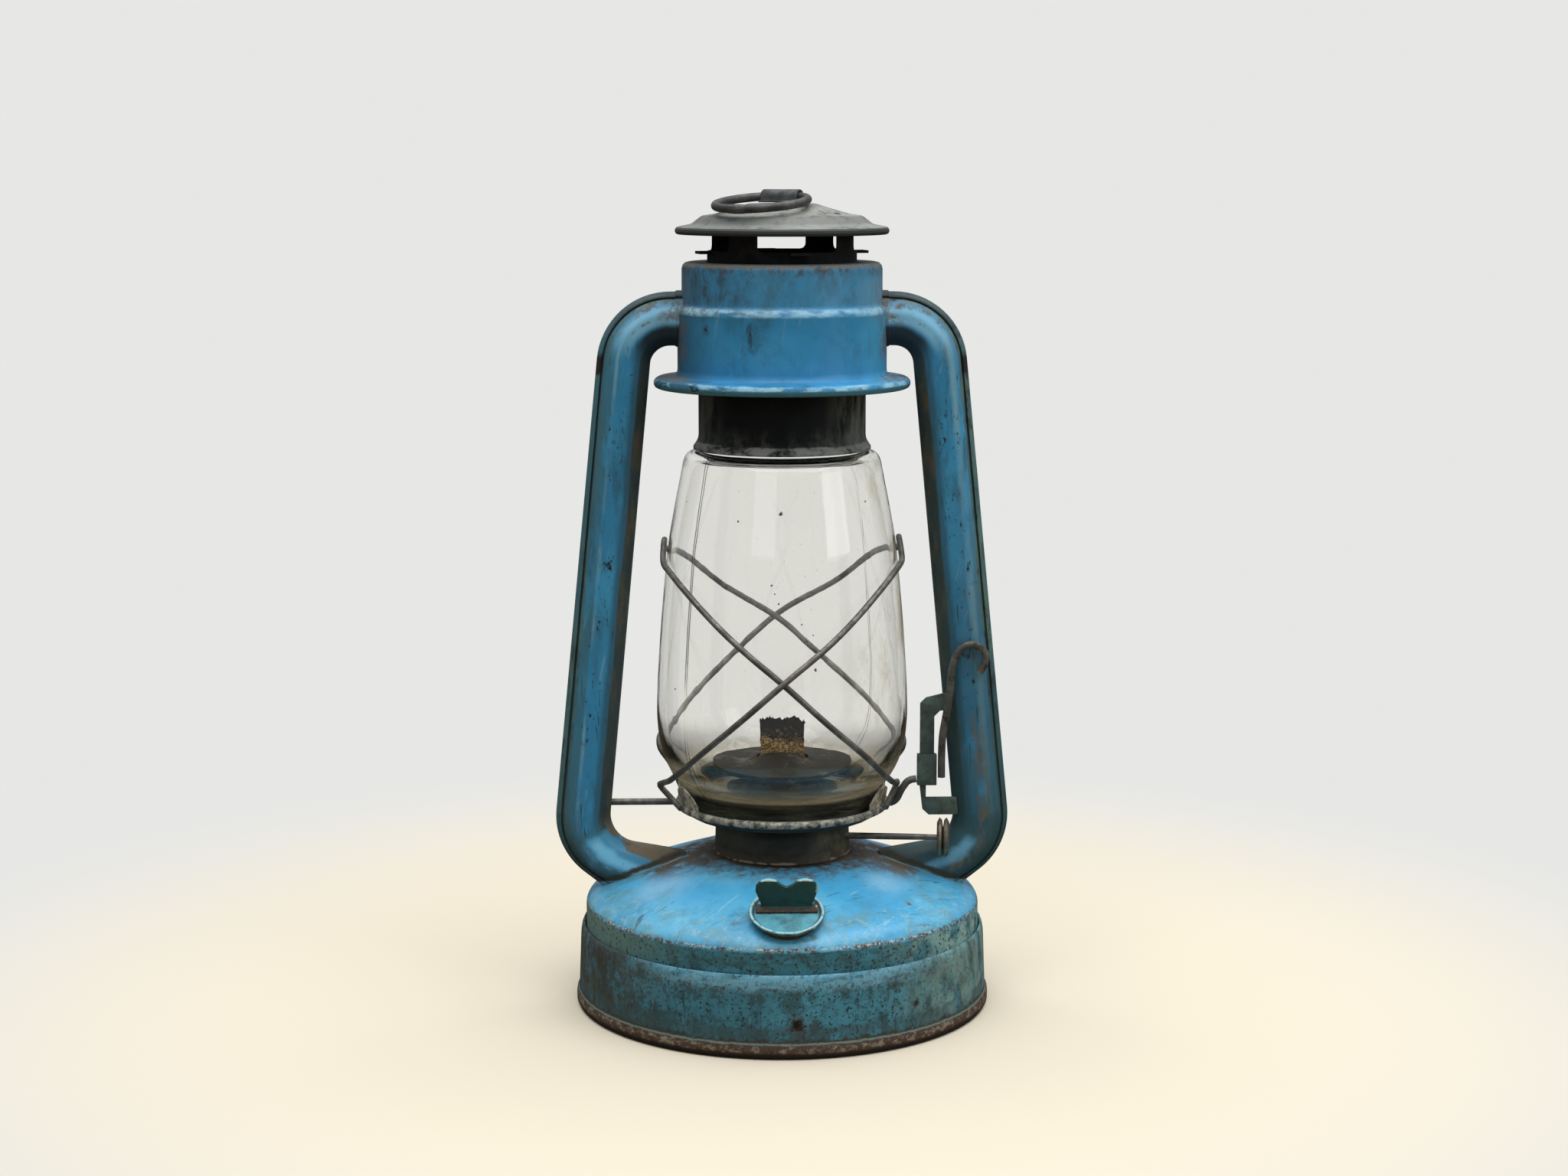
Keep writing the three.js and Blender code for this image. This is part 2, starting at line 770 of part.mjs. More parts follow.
// The angle at which two circles share a tangent on their outer side.
function sharedTangent([x1, z1], radius1, [x2, z2], radius2) {
  const [dx, dz] = [x2 - x1, z2 - z1];
  return Math.atan2(dz, dx) + Math.acos((radius1 - radius2) / Math.hypot(dx, dz));
}

// One edge of a tube, from inside the drum to under the dome, moved in by inset.
function tubeEdge(outward, inset, extra = 0) {
  const upperRadius = tubeBend + outward * (tubeHalfWidth - inset);
  const outer = outward > 0;
  const lowerRadius = (outer ? tubeOuterBend : tubeInnerBend) - outward * inset;
  const middle = outer
    ? [tubeOuterReach, crownTop + tubeOuterRise]
    : [tubeInnerReach, crownTop + tubeInnerRise];
  const dip = radians(outer ? tubeOuterDip : tubeInnerDip);
  const tangent = sharedTangent(upperBend, upperRadius, middle, lowerRadius);
  const lower = arc(middle, lowerRadius, tangent, dip - Math.PI / 2);
  const [x, z] = lower[bendSteps];
  const run = 2 * tubeHalfWidth + extra;
  const entry = Math.sqrt(drumUpperRadius ** 2 - tubeHalfDepth ** 2) - tubeEntry - extra;
  return [
    [entry, upperBend[1] + upperRadius],
    ...arc(upperBend, upperRadius, Math.PI / 2, tangent),
    ...lower,
    [x - run * Math.cos(dip), z - run * Math.sin(dip)],
  ];
}

// The tube's section across its width, in from its skin by inset. The crease lies on the outer side.
function tubeSection(width, inset) {
  const depth = tubeHalfDepth - inset;
  const bevel = tubeBevel - inset * (2 - Math.SQRT2);
  const front = [
    [0, depth - bevel],
    [bevel, depth],
    [width * tubeCreaseShare, depth + tubeCrease],
    [width - bevel, depth],
    [width, depth - bevel],
  ];
  return [...front, ...front.map(([across, y]) => [across, -y]).reverse()];
}

// A body along two edges in the XZ plane: a section gives [distance from the inner edge, y] points.
function alongEdges(side, inner, outer, section) {
  const rings = inner.map(([x, z], i) => {
    const [dx, dz] = [outer[i][0] - x, outer[i][1] - z];
    const width = Math.hypot(dx, dz);
    return section(width).map(([across, y]) => [
      side * (x + (dx * across) / width),
      y,
      z + (dz * across) / width,
    ]);
  });
  const count = rings[0].length;
  const index = [];
  for (let i = 0; i < rings.length - 1; i += 1) {
    for (let k = 0; k < count; k += 1) {
      const [a, b] = [i * count + k, i * count + ((k + 1) % count)];
      index.push(a, b, b + count, a, b + count, a + count);
    }
  }
  const last = (rings.length - 1) * count;
  for (let k = 1; k < count - 1; k += 1) {
    index.push(0, k + 1, k, last, last + k, last + k + 1);
  }
  const geometry = new THREE.BufferGeometry();
  geometry.setAttribute("position", new THREE.Float32BufferAttribute(rings.flat(2), 3));
  geometry.setIndex(index);
  return solid(geometry);
}

function tubeBody(side, inset, extra) {
  const [inner, outer] = [tubeEdge(-1, inset, extra), tubeEdge(1, inset, extra)];
  return alongEdges(side, inner, outer, (width) => tubeSection(width, inset));
}

const tubeInnerEdge = (height) => between(tubeEdge(-1, 0), height, 1);

function seamFinBody(side) {
  const stations = [1, bendSteps + 2];
  const start = drumUpperRadius + sheet;
  const [root, edge] = [sheet / 2, -seamFin].map((inset) => {
    const points = tubeEdge(1, inset).slice(...stations);
    return [[start, points[0][1]], ...points];
  });
  const half = seamFinThickness / 2;
  return alongEdges(side, root, edge, (width) => [
    [0, half],
    [width, half],
    [width, -half],
    [0, -half],
  ]);
}

function sideTube(side) {
  const hollow = tubeBody(side, sheet, overrun);
  const tank = turned([
    [0, 0],
    [footRadius + gap, 0],
    [footRadius + gap, cupHeight],
    ...domeProfile(gap, -gap).reverse(),
    [0, crownTop + gap],
  ]);
  const crown = turned(disc(tubeTip, 0, drumFoot));
  const tube = cut(join(tubeBody(side, 0, 0), seamFinBody(side)), hollow, tank, crown);
  return side < 0 ? join(cut(tube, rodSlot()), tubeLip()) : tube;
}

// Drum

function drum() {
  const deckRadius = chimneyRadius + 2 * gap;
  const upper = drumUpperRadius;
  const lower = drumLowerRadius;
  const stepFoot = drumFoot + drumStepHeight;
  const rimTop = drumFoot + flangeRim;
  const lipInner = flangeRadius - flangeLip - sheet;
  const seat = flangeRadius - flangeLip;
  const shell = turned([
    [deckRadius, drumTop],
    [upper - drumRounding, drumTop],
    [upper - drumRounding / 3, drumTop - drumRounding / 3],
    [upper, drumTop - drumRounding],
    [upper, stepFoot + drumStepRise],
    [(upper + lower) / 2 + gap, stepFoot + drumStepRise / 2],
    [lower, stepFoot],
    [lower, rimTop + flangeFall + sheet],
    [lower + sheet, rimTop + flangeFall],
    [flangeRadius - flangeFall, rimTop],
    [flangeRadius, drumFoot + flangeRim / 2],
    [flangeRadius - sheet, drumFoot + gap],
    [flangeRadius - flangeFall, drumFoot],
    [lipInner, drumFoot],
    [lipInner, drumFoot + sheet],
    [seat, drumFoot + sheet],
    [seat, rimTop - sheet],
    [lower, rimTop + flangeFall - sheet],
    [lower - sheet, rimTop + flangeFall],
    [lower - sheet, stepFoot - gap],
    [upper - sheet, stepFoot + drumStepRise],
    [upper - sheet, drumTop - drumRounding],
    [upper - drumRounding, drumTop - sheet],
    [deckRadius, drumTop - sheet],
  ]);
  return cut(shell, stubHole(1), stubHole(-1));
}

function stubHole(side) {
  const reach = [drumUpperRadius / 2, drumLowerRadius + tubeStub + overrun];
  const edge = (outward) => reach.map((x) => [x, stubHeight + outward * (tubeHalfWidth + gap)]);
  return alongEdges(side, edge(-1), edge(1), (width) => tubeSection(width, -gap));
}

function drumFloor() {
  const hole = skirtRadius + 2 * gap;
  return turned(hoop(hole, flangeRadius - flangeLip - gap, drumFoot + sheet + gap, drumFoot + 2 * sheet + gap));
}

// Hood: all of it slides in the drum, and its own group is turned about the axis.

function hoodSleeve() {
  const inner = sleeveRadius - thinSheet;
  const collarHole = chimneyRadius + gap;
  return turned([
    [skirtRadius, skirtFoot],
    [skirtRadius, skirtFoot + skirtEdge],
    [sleeveRadius, skirtFoot + skirtHeight],
    [sleeveRadius, sleeveTop],
    [collarHole, sleeveTop],
    [collarHole, sleeveTop - thinSheet],
    [inner, sleeveTop - thinSheet],
    [inner, skirtFoot + skirtHeight],
    [skirtRadius - skirtEdge, skirtFoot + gap],
    [skirtRadius - skirtEdge, skirtFoot],
  ]);
}

function roundedRectangle(halfWidth, low, high, corner) {
  const shape = new THREE.Shape();
  shape.moveTo(halfWidth, high);
  shape.lineTo(-halfWidth, high);
  shape.absarc(-halfWidth + corner, low + corner, corner, Math.PI, 1.5 * Math.PI);
  shape.absarc(halfWidth - corner, low + corner, corner, 1.5 * Math.PI, 2 * Math.PI);
  return shape.getPoints(2).map((p) => [p.x, p.y]);
}

const chimneyTop = hoodCapFoot + hoodCapHeight * chimneyTopShare;

function chimney() {
  const wall = turned(hoop(chimneyRadius - thinSheet, chimneyRadius, sleeveTop - chimneyNest, chimneyTop));
  const halfWidth = chimneyRadius * Math.sin(radians(windowSpread / 2));
  const outline = roundedRectangle(halfWidth, sillHeight, sillHeight + windowHeight, windowCorner);
  const opening = upright(outline, -chimneyRadius - overrun, -chimneyRadius / 2);
  const stop = block(
    [-stopWidth / 2, -chimneyRadius - stopReach, sillHeight - stopSheet],
    [stopWidth / 2, -chimneyRadius + thinSheet / 2, sillHeight],
  );
  const turns = Array.from({ length: windows }, (_, i) => (360 / windows) * (i + 0.5));
  const openings = turns.map((turn) => opening.rotate(0, 0, turn));
  const stops = turns.map((turn) => stop.rotate(0, 0, turn));
  return join(cut(wall, ...openings), ...stops);
}

function hoodCap() {
  const height = (share) => hoodCapFoot + share * hoodCapHeight;
  const outer = hoodCapProfileShares.map(([r, z]) => [r * hoodCapRadius, height(z)]);
  const inner = outer.slice(0, -1).map(([r, z]) => [r - gap, z - sheet]).reverse();
  return turned([
    [0, hoodCapTop],
    ...outer,
    [hoodCapRadius - gap, hoodCapFoot + gap],
    [hoodCapRadius - sheet, hoodCapFoot],
    [hoodCapRadius - 2 * sheet, hoodCapFoot + gap],
    ...inner,
    [0, hoodCapTop - sheet],
  ]);
}

const ringHeight = hoodCapTop + gap + ringWire / 2 + gap;

function hoodStrap() {
  const inner = ringWire / 2 + gap;
  const outer = inner + thinSheet;
  const foot = hoodCapTop + gap;
  const arch = (radius) =>
    Array.from({ length: wireSides + 1 }, (_, i) => {
      const angle = (Math.PI * i) / wireSides;
      return [radius * Math.cos(angle), ringHeight + radius * Math.sin(angle)];
    });
  const flare = outer + 2 * thinSheet;
  const outline = [
    [flare, foot],
    [flare, foot + thinSheet],
    [outer, foot + thinSheet],
    ...arch(outer),
    [-outer, foot + thinSheet],
    [-flare, foot + thinSheet],
    [-flare, foot],
    [-inner, foot],
    ...arch(inner).reverse(),
    [inner, foot],
  ];
  return upright(outline, -strapLength / 2, strapLength / 2).rotate(0, 0, 90);
}

// Half of the ring, from the middle of its bar round to the far side.
function ringHalf(side) {
  const chord = Math.sqrt(ringRadius ** 2 - (ringBar / 2) ** 2);
  const startAngle = Math.asin(ringBar / 2 / ringRadius);
  const overlap = (-side * ringWire) / 4;
  const half = ringSteps / 2;
  const arc = Array.from({ length: half + 1 }, (_, i) => {
    const angle = startAngle + ((Math.PI - startAngle) * i) / half;
    return point(side * ringRadius * Math.sin(angle), ringRadius * Math.cos(angle) - chord, 0);
  });
  const end = arc[half].clone().setX(overlap);
  return swept([point(overlap, 0, 0), ...arc, end], roundOutline(ringWire / 2, wireSides));
}

function hoodRing() {
  return join(ringHalf(1), ringHalf(-1)).rotate(ringTilt, 0, 0).translate(0, 0, ringHeight);
}

// The least distance between points of a coiled wire's middle line that lie half a turn or more apart,
// less the wire.
function leastGap(stations, thickness) {
  const distances = stations.flatMap((here, i) =>
    stations.slice(i + coilSteps / 2).map((there) => here.distanceTo(there)),
  );
  return Math.min(...distances) - thickness;
}

function hoodSpring() {
  const low = sleeveTop + gap + springWire / 2;
  const high = drumTop - sheet - gap - springWire / 2;
  const count = springTurns * coilSteps;
  const stations = Array.from({ length: count + 1 }, (_, i) => {
    const angle = (2 * Math.PI * i) / coilSteps;
    const height = low + ((high - low) * i) / count;
    return point(springRadius * Math.cos(angle), springRadius * Math.sin(angle), height);
  });
  console.log("hood spring: least gap to itself", leastGap(stations, springWire).toFixed(2), "mm");
  return swept(stations, roundOutline(springWire / 2, thinWireSides));
}

// Globe and its carrier

const globeProfile = globeProfileShares.map(([r, z]) => [r * globeRadius, globeFoot + z * globeHeight]);
const globeRadiusAt = (height) => between(globeProfile, height, 1);

function globe() {
  const mouth = globeRadius * globeMouthShare;
  const lip = globeRadius * globeLipShare;
  const kept = globeProfile.slice(0, -2).filter((_, i) => i % 2 === 0);
  const inner = kept.map(([r, z]) => [r - globeWall, z]).reverse();
  return turned([
    ...globeProfile,
    [mouth, globeTop],
    [lip, globeTop - globeWall / 2],
    [lip, globeTop - globeWall],
    [mouth + globeWall / 2, globeTop - globeWall],
    ...inner,
  ]);
}

function globePlate() {
  const seat = globeProfile[0][0] + plateSeatClearance;
  const rimMiddle = plateRimRadius - plateBead;
  const hole = basketRadius + gap;
  const dish = turned([
    [hole, plateFloor],
    [seat, plateFloor],
    [rimMiddle, plateRim - plateBead],
    [plateRimRadius, plateRim],
    [rimMiddle, plateRim + plateBead],
    [rimMiddle - sheet, plateRim + plateBead - sheet],
    [rimMiddle - sheet, plateRim],
    [seat, plateFloor + sheet],
    [hole, plateFloor + sheet],
  ]);
  const slotMiddle = (hole + seat - globeWall) / 2;
  const slotRing = turned(
    hoop(
      slotMiddle - plateSlotWidth / 2,
      slotMiddle + plateSlotWidth / 2,
      plateFloor - overrun,
      plateFloor + sheet + gap / 2,
    ),
  );
  const wedge = (middle) => {
    const reach = plateRimRadius;
    const half = radians(plateSlotSpread / 2);
    const outline = [
      [0, 0],
      [reach * Math.cos(middle - half), reach * Math.sin(middle - half)],
      [reach * Math.cos(middle + half), reach * Math.sin(middle + half)],
    ];
    return upright(outline, -plateRim, plateRim).rotate(-90, 0, 0).translate(0, 0, plateFloor);
  };
  const turn = radians(plateSlotTurn);
  const middles = [turn, Math.PI - turn, Math.PI + turn, -turn];
  const slots = middles.map((middle) => slotRing.intersect(wedge(middle)));
  const ears = [1, -1].flatMap((side) => [1, -1].map((way) => plateEar(side, way)));
  return join(cut(dish, ...slots), ...ears);
}

// One of the four lugs round the globe: side picks left or right, way the front or the back.
function plateEar(side, way) {
  const root = plateRimRadius - plateBead - sheet;
  const top = plateRim + earHeight;
  const cone = turned([
    [root, plateRim],
    [root + sheet, plateRim],
    [root + earLean + sheet, top],
    [root + earLean, top],
  ]);
  const half = earWidth / 2;
  const arch = bezier([half, top - half / 2], [half / 2, top], [0, top]);
  const outline = [[half, plateRim], ...arch, ...arch.slice(0, -1).map(([x, z]) => [-x, z]).reverse(), [-half, plateRim]];
  const turn = side * way * earTurn + (side > 0 ? 90 : -90);
  return cone.intersect(upright(outline, -footRadius, -root / 2).rotate(0, 0, turn));
}

// A guard wire: up from the plate's rim, across the front, over the corner on the far side, across the
// rear, and down beside the globe. The wire that passes outside the other bulges where they cross.
function guardStations(side, outward) {
  const reach = plateRimRadius + guardCornerReach;
  const wrap = guardWire / 2 + 2 * gap;
  const topHeight = globeFoot + guardTopHeight;
  const spot = (radius, angle, way, z) =>
    point(side * radius * Math.sin(angle), way * radius * Math.cos(angle), z);
  const across = (share, way, footHeight, crossHeight) => {
    const angle = (share * Math.PI) / 2;
    const rise = share > 0 ? footHeight - crossHeight : crossHeight - topHeight + guardCrest;
    const z = crossHeight + rise * Math.sin(angle) + outward * guardLift * Math.cos(angle);
    const bulge = outward * (guardWire + gap) * Math.max(0, 1 - Math.abs(share / guardBulgeShare));
    const spread = way < 0 && side < 0 && share > 0 ? guardSpread * share ** 2 : 0;
    return spot(Math.max(globeRadiusAt(z) + wrap + bulge, reach) + spread, angle, way, z);
  };
  const frontHeights = [guardFootHeight, guardCrossHeight].map((height) => globeFoot + height);
  const rearHeights = [guardRearFootHeight, guardRearCrossHeight].map((height) => globeFoot + height);
  const front = guardStationShares.map((share) => across(share, -1, ...frontHeights));
  const rear = guardStationShares.map((share) => across(share, 1, ...rearHeights)).reverse();
  const corner = point(-side * reach, 0, topHeight);
  const seatAngle = Math.PI / 2 - radians(guardSeatTurn);
  const seatRadius = plateRimRadius + gap + guardWire / 2;
  const legTop = globeFoot + guardRearFootHeight;
  const legAngle = (guardStationShares[0] * Math.PI) / 2;
  const leg = guardLegShares.map((share) => {
    const z = plateRim + share * (legTop - plateRim);
    const clear = plateRimRadius - plateBead + earLean + wrap;
    const angle = seatAngle + share * (legAngle - seatAngle);
    return spot(Math.max(globeRadiusAt(z) + wrap, clear), angle, 1, z);
  });
  const seats = [-1, 1].map((way) => spot(seatRadius, seatAngle, way, plateRim + plateBead));
  return [seats[0], ...front, corner, ...rear, ...leg, seats[1]];
}

function guard(side, outward) {
  return wire(guardStations(side, outward), guardWire / 2, guardSteps, thinWireSides);
}

const rodHeight = plateRim;
const rodTip = tubeInnerEdge(rodHeight) + sheet + rodEntry;

function guideRod() {
  const from = point(-plateRimRadius - gap, 0, rodHeight);
  return bar(from, point(-rodTip, 0, rodHeight), rodRadius, wireSides);
}

// The slot that the rod runs in, through the tube's inner wall.
function rodSlot() {
  const half = rodRadius + gap;
  return block(
    [-rodTip - gap, -half, rodHeight - half],
    [-plateRimRadius, half, rodHeight + liftTravel + half + gap],
  );
}

// The lip is bent out of the tube's inner wall beside the slot.
function tubeLip() {
  const low = rodHeight + rodRadius + lipRise;
  const face = -tubeInnerEdge(low + lipHeight);
  const side = rodRadius + 2 * gap;
  return block([face - sheet / 2, side, low], [face + lipReach, side + lipWidth, low + lipHeight]);
}

// Lift bracket: a C shaped plate in front of the right tube's middle.
const bracketFront = -tubeHalfDepth * bracketStandShare - bracketSheet;
const bracketBack = bracketFront + bracketSheet;
const bracketFootTop = plateRim + bracketFootRise;
const stripOuter = tubeInnerEdge(bracketFootTop) - bracketReach;
const sliderFoot = bracketFootTop + sliderRise;
const sliderTop = sliderFoot + sliderHeight;

function liftBracket() {
  const foot = bracketFootTop - bracketFootArm;
  const opening = bracketFootTop + bracketOpening;
  const top = opening + bracketArm;
  const inner = stripOuter + stripWidth;
  const meet = (height) => tubeInnerEdge(height) + tubeBevel;
  const footInner = stripOuter + stripFootWidth;
  const outline = [
    [stripOuter + stripFootWidth + bracketCorner / 2, foot],
    [meet(foot), foot],
    [meet(bracketFootTop), bracketFootTop],
    [footInner, bracketFootTop],
    [footInner, sliderFoot],
    [inner, sliderFoot + bracketCorner],
    [inner, opening - bracketCorner],
    [inner + bracketCorner, opening],
    [meet(opening), opening],
    [meet(top), top],
    [stripOuter + bracketCorner, top - bracketTopFall],
    [stripOuter, top - bracketTopFall - bracketCorner],
    [stripOuter, sliderFoot],
    [stripOuter + bracketCorner / 2, foot + bracketCorner],
  ];
  return cut(upright(outline, bracketFront, bracketBack), tubeSkin());
}

// The right tube's outside grown by the gap, to trim what is fixed on it.
const tubeSkin = () => tubeBody(1, -gap, 0);

function liftSlider() {
  const outer = [stripOuter - gap - thinSheet, stripOuter + stripWidth + gap + thinSheet];
  const shell = block(
    [outer[0], bracketFront - gap - thinSheet, sliderFoot],
    [outer[1], bracketBack + gap + thinSheet, sliderTop],
  );
  const bore = block(
    [stripOuter - gap, bracketFront - gap, sliderFoot - overrun],
    [stripOuter + stripWidth + gap, bracketBack + gap, sliderTop + overrun],
  );
  return cut(shell, bore);
}

function liftArm() {
  const y = (bracketFront + bracketBack) / 2;
  const startX = Math.sqrt(plateRimRadius ** 2 - y ** 2) + gap;
  const run = stripOuter - 2 * gap - thinSheet - startX;
  const points = armRouteShares.map(([x, z]) => point(startX + x * run, y, plateRim + z * armRise));
  return wire(points, armRadius, 2 * curveSteps);
}

function liftLever() {
  const x = stripOuter + stripWidth + 2 * gap + thinSheet + leverRadius;
  const frontY = bracketFront - gap - leverRadius;
  const overTube = -tubeHalfDepth - tubeCrease - 2 * gap - leverRadius;
  const points = leverRouteShares.map(([across, forward, up]) => {
    const y = frontY + forward * (overTube - frontY);
    return point(x + across * leverReach, y, sliderFoot + up * leverHeight);
  });
  return wire(points, leverRadius, leverSteps);
}

place("fount_base", fountBase(), bandBlue);
place("fount_top", fountTop(), domeBlue);
place("tank_lid", tankLid(), burnerBrown);
place("filler_neck", fillerNeck(), burnerBrown);
place("filler_washer", fillerWasher(), sealCork);
place("filler_cap", fillerCap(), domeBlue);
place("filler_wing", fillerWing(), darkTeal);
place("burner_collar", burnerCollar(), burnerBrown, burner);
place("burner_basket", burnerBasket(), burnerBrown, burner);
place("burner_cone", burnerCone(), soot, burner);
place("wick_tube", wickTube(), burnerBrown, burner);
place("wick", wick(), wickCloth, burner);
place("wick_shaft", wickShaft(), wireGrey, burner);
place("spur_wheel_left", spurWheel(spurPlaces()[0]), wireGrey, burner);
place("spur_wheel_right", spurWheel(spurPlaces()[1]), wireGrey, burner);
place("wick_knob", wickKnob(), knobSteel, burner);
place("side_tube_left", sideTube(-1), tubeBlue);
place("side_tube_right", sideTube(1), tubeBlue);
place("drum", drum(), drumBlue);
place("drum_floor", drumFloor(), drumBlue);
place("lift_bracket", liftBracket(), darkTeal);
place("globe", globe(), glassMaterial, carrier);
place("globe_plate", globePlate(), plateSteel, carrier);
place("guard_wire_left", guard(1, 0), wireGrey, carrier);
place("guard_wire_right", guard(-1, 1), wireGrey, carrier);
place("guide_rod", guideRod(), wireGrey, carrier);
place("lift_arm", liftArm(), wireGrey, carrier);
place("lift_slider", liftSlider(), darkTeal, carrier);
place("lift_lever", liftLever(), wireGrey, carrier);
place("hood_sleeve", hoodSleeve(), soot, hood);
place("chimney", chimney(), soot, hood);
place("hood_cap", hoodCap(), capGrey, hood);
place("hood_strap", hoodStrap(), capGrey, hood);
place("hood_ring", hoodRing(), wireGrey, hood);
place("hood_spring", hoodSpring(), wireGrey, hood);

export default lantern;
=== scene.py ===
import math

import bpy
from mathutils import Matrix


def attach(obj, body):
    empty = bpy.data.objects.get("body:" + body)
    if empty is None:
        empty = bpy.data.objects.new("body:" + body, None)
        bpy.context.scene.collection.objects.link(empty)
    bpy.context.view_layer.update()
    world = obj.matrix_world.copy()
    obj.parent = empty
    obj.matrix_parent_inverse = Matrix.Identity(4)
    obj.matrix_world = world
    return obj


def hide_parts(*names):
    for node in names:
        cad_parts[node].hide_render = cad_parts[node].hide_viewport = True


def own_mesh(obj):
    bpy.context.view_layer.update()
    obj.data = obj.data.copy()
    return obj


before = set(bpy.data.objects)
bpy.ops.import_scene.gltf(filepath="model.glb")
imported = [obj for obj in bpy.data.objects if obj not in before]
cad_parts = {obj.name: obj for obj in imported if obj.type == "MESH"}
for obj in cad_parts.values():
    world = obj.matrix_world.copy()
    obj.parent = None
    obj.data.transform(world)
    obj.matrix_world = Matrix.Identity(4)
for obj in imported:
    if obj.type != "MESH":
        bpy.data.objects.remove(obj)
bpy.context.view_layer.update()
mm = 0.001
modelling = {
    "weld": 0.000002, "copyWeld": 0.000004, "flatFace": 6, "flatShape": 60, "roundLevels": 2,
    "wireEnd": 80, "wireEndReach": 3.4, "wireSteps": 3, "barSides": 4,
}
print("frame loaded:", len(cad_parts), "nodes")


# Modelling helpers. Profiles and points are in millimetres, angles in degrees.

def deselectAll():
    if bpy.context.object and bpy.context.object.mode == "EDIT":
        bpy.ops.object.mode_set(mode="OBJECT")
    bpy.ops.object.select_all(action="DESELECT")


def setMode(mode):
    bpy.ops.object.mode_set(mode=mode)


def selectAll():
    bpy.ops.mesh.select_all(action="SELECT")


def pickOnly(piece):
    deselectAll()
    piece.select_set(True)
    bpy.context.view_layer.objects.active = piece


def editAll(piece):
    pickOnly(piece)
    setMode("EDIT")
    selectAll()


def finishPiece(piece, name, body, replaced=(), angle=32):
    pickOnly(piece)
    for modifier in list(piece.modifiers):
        bpy.ops.object.modifier_apply(modifier=modifier.name)
    bpy.ops.object.transform_apply(location=True, rotation=True, scale=True)
    bpy.ops.object.shade_smooth_by_angle(angle=math.radians(angle))
    piece.name = name
    piece.data.name = name
    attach(piece, body)
    if replaced:
        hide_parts(*replaced)
    return piece


def softLine(points, steps):
    # a smooth line through points, with so many steps between each two
    ends = [points[0], *points, points[-1]]
    line = []
    for i in range(1, len(ends) - 2):
        for k in range(steps):
            t = k / steps
            weights = (
                -t + 2 * t ** 2 - t ** 3,
                2 - 5 * t ** 2 + 3 * t ** 3,
                t + 4 * t ** 2 - 3 * t ** 3,
                -t ** 2 + t ** 3,
            )
            columns = zip(*ends[i - 1:i + 3])
            line.append(tuple(sum(w * v for w, v in zip(weights, column)) / 2 for column in columns))
    return [*line, points[-1]]


def curveLine(start, pull, end, steps):
    line = []
    for k in range(steps + 1):
        t = k / steps
        first, second, third = (1 - t) ** 2, 2 * t * (1 - t), t ** 2
        line.append(tuple(first * a + second * b + third * c for a, b, c in zip(start, pull, end)))
    return line


def turnProfile(profile, steps=144):
    # a ring, extruded and scaled from point to point of the profile
    deselectAll()
    radius, height = profile[0]
    bpy.ops.mesh.primitive_circle_add(vertices=steps, radius=radius * mm, location=(0, 0, height * mm))
    piece = bpy.context.object
    setMode("EDIT")
    bpy.ops.mesh.select_mode(type="VERT")
    selectAll()
    for nextRadius, nextHeight in profile[1:]:
        rise = (0, 0, (nextHeight - height) * mm)
        bpy.ops.mesh.extrude_region_move(TRANSFORM_OT_translate={"value": rise})
        widen = nextRadius / radius
        bpy.ops.transform.resize(value=(widen, widen, 1), center_override=(0, 0, nextHeight * mm))
        radius, height = nextRadius, nextHeight
    selectAll()
    bpy.ops.mesh.remove_doubles(threshold=modelling["weld"])
    bpy.ops.mesh.normals_make_consistent(inside=False)
    setMode("OBJECT")
    return piece


def copyNode(node):
    # an own, merged copy of a CAD node
    pickOnly(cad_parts[node])
    bpy.ops.object.duplicate()
    piece = bpy.context.object
    piece.parent = None
    piece.hide_render = False
    for key in list(piece.keys()):
        del piece[key]
    piece.data.materials.clear()
    editAll(piece)
    bpy.ops.mesh.remove_doubles(threshold=modelling["copyWeld"])
    face, shape = math.radians(modelling["flatFace"]), math.radians(modelling["flatShape"])
    bpy.ops.mesh.tris_convert_to_quads(face_threshold=face, shape_threshold=shape)
    setMode("OBJECT")
    return piece


def roundWire(node, grow):
    # a CAD wire rounded by subdivision, and made thick again
    piece = copyNode(node)
    modifier = piece.modifiers.new("round", "SUBSURF")
    modifier.levels = modifier.render_levels = modelling["roundLevels"]
    pickOnly(piece)
    bpy.ops.object.modifier_apply(modifier="round")
    editAll(piece)
    bpy.ops.transform.shrink_fatten(value=grow * mm)
    setMode("OBJECT")
    return piece


def middleLine(node):
    # the middle of each ring of a CAD wire, from one end to the other
    mesh = copyNode(node).data
    beside, neighbours = {}, {}
    for face in mesh.polygons:
        for key in face.edge_keys:
            beside.setdefault(key, []).append(face.normal)
    for a, b in beside:
        neighbours.setdefault(a, set()).add(b)
        neighbours.setdefault(b, set()).add(a)
    square, reach = math.radians(modelling["wireEnd"]), modelling["wireEndReach"] * mm
    rims = [key for key, sides in beside.items() if len(sides) == 2 and sides[0].angle(sides[1]) > square]
    start = min((mesh.vertices[i].co for key in rims for i in key), key=lambda place: place[2])
    ring = {i for key in rims for i in key if (mesh.vertices[i].co - start).length < reach}
    line, seen = [], set()
    while ring:
        places = [mesh.vertices[i].co for i in ring]
        line.append(tuple(sum(place[a] for place in places) / len(places) for a in range(3)))
        seen |= ring
        ring = {j for i in ring for j in neighbours[i]} - seen
    bpy.ops.object.delete()
    return line


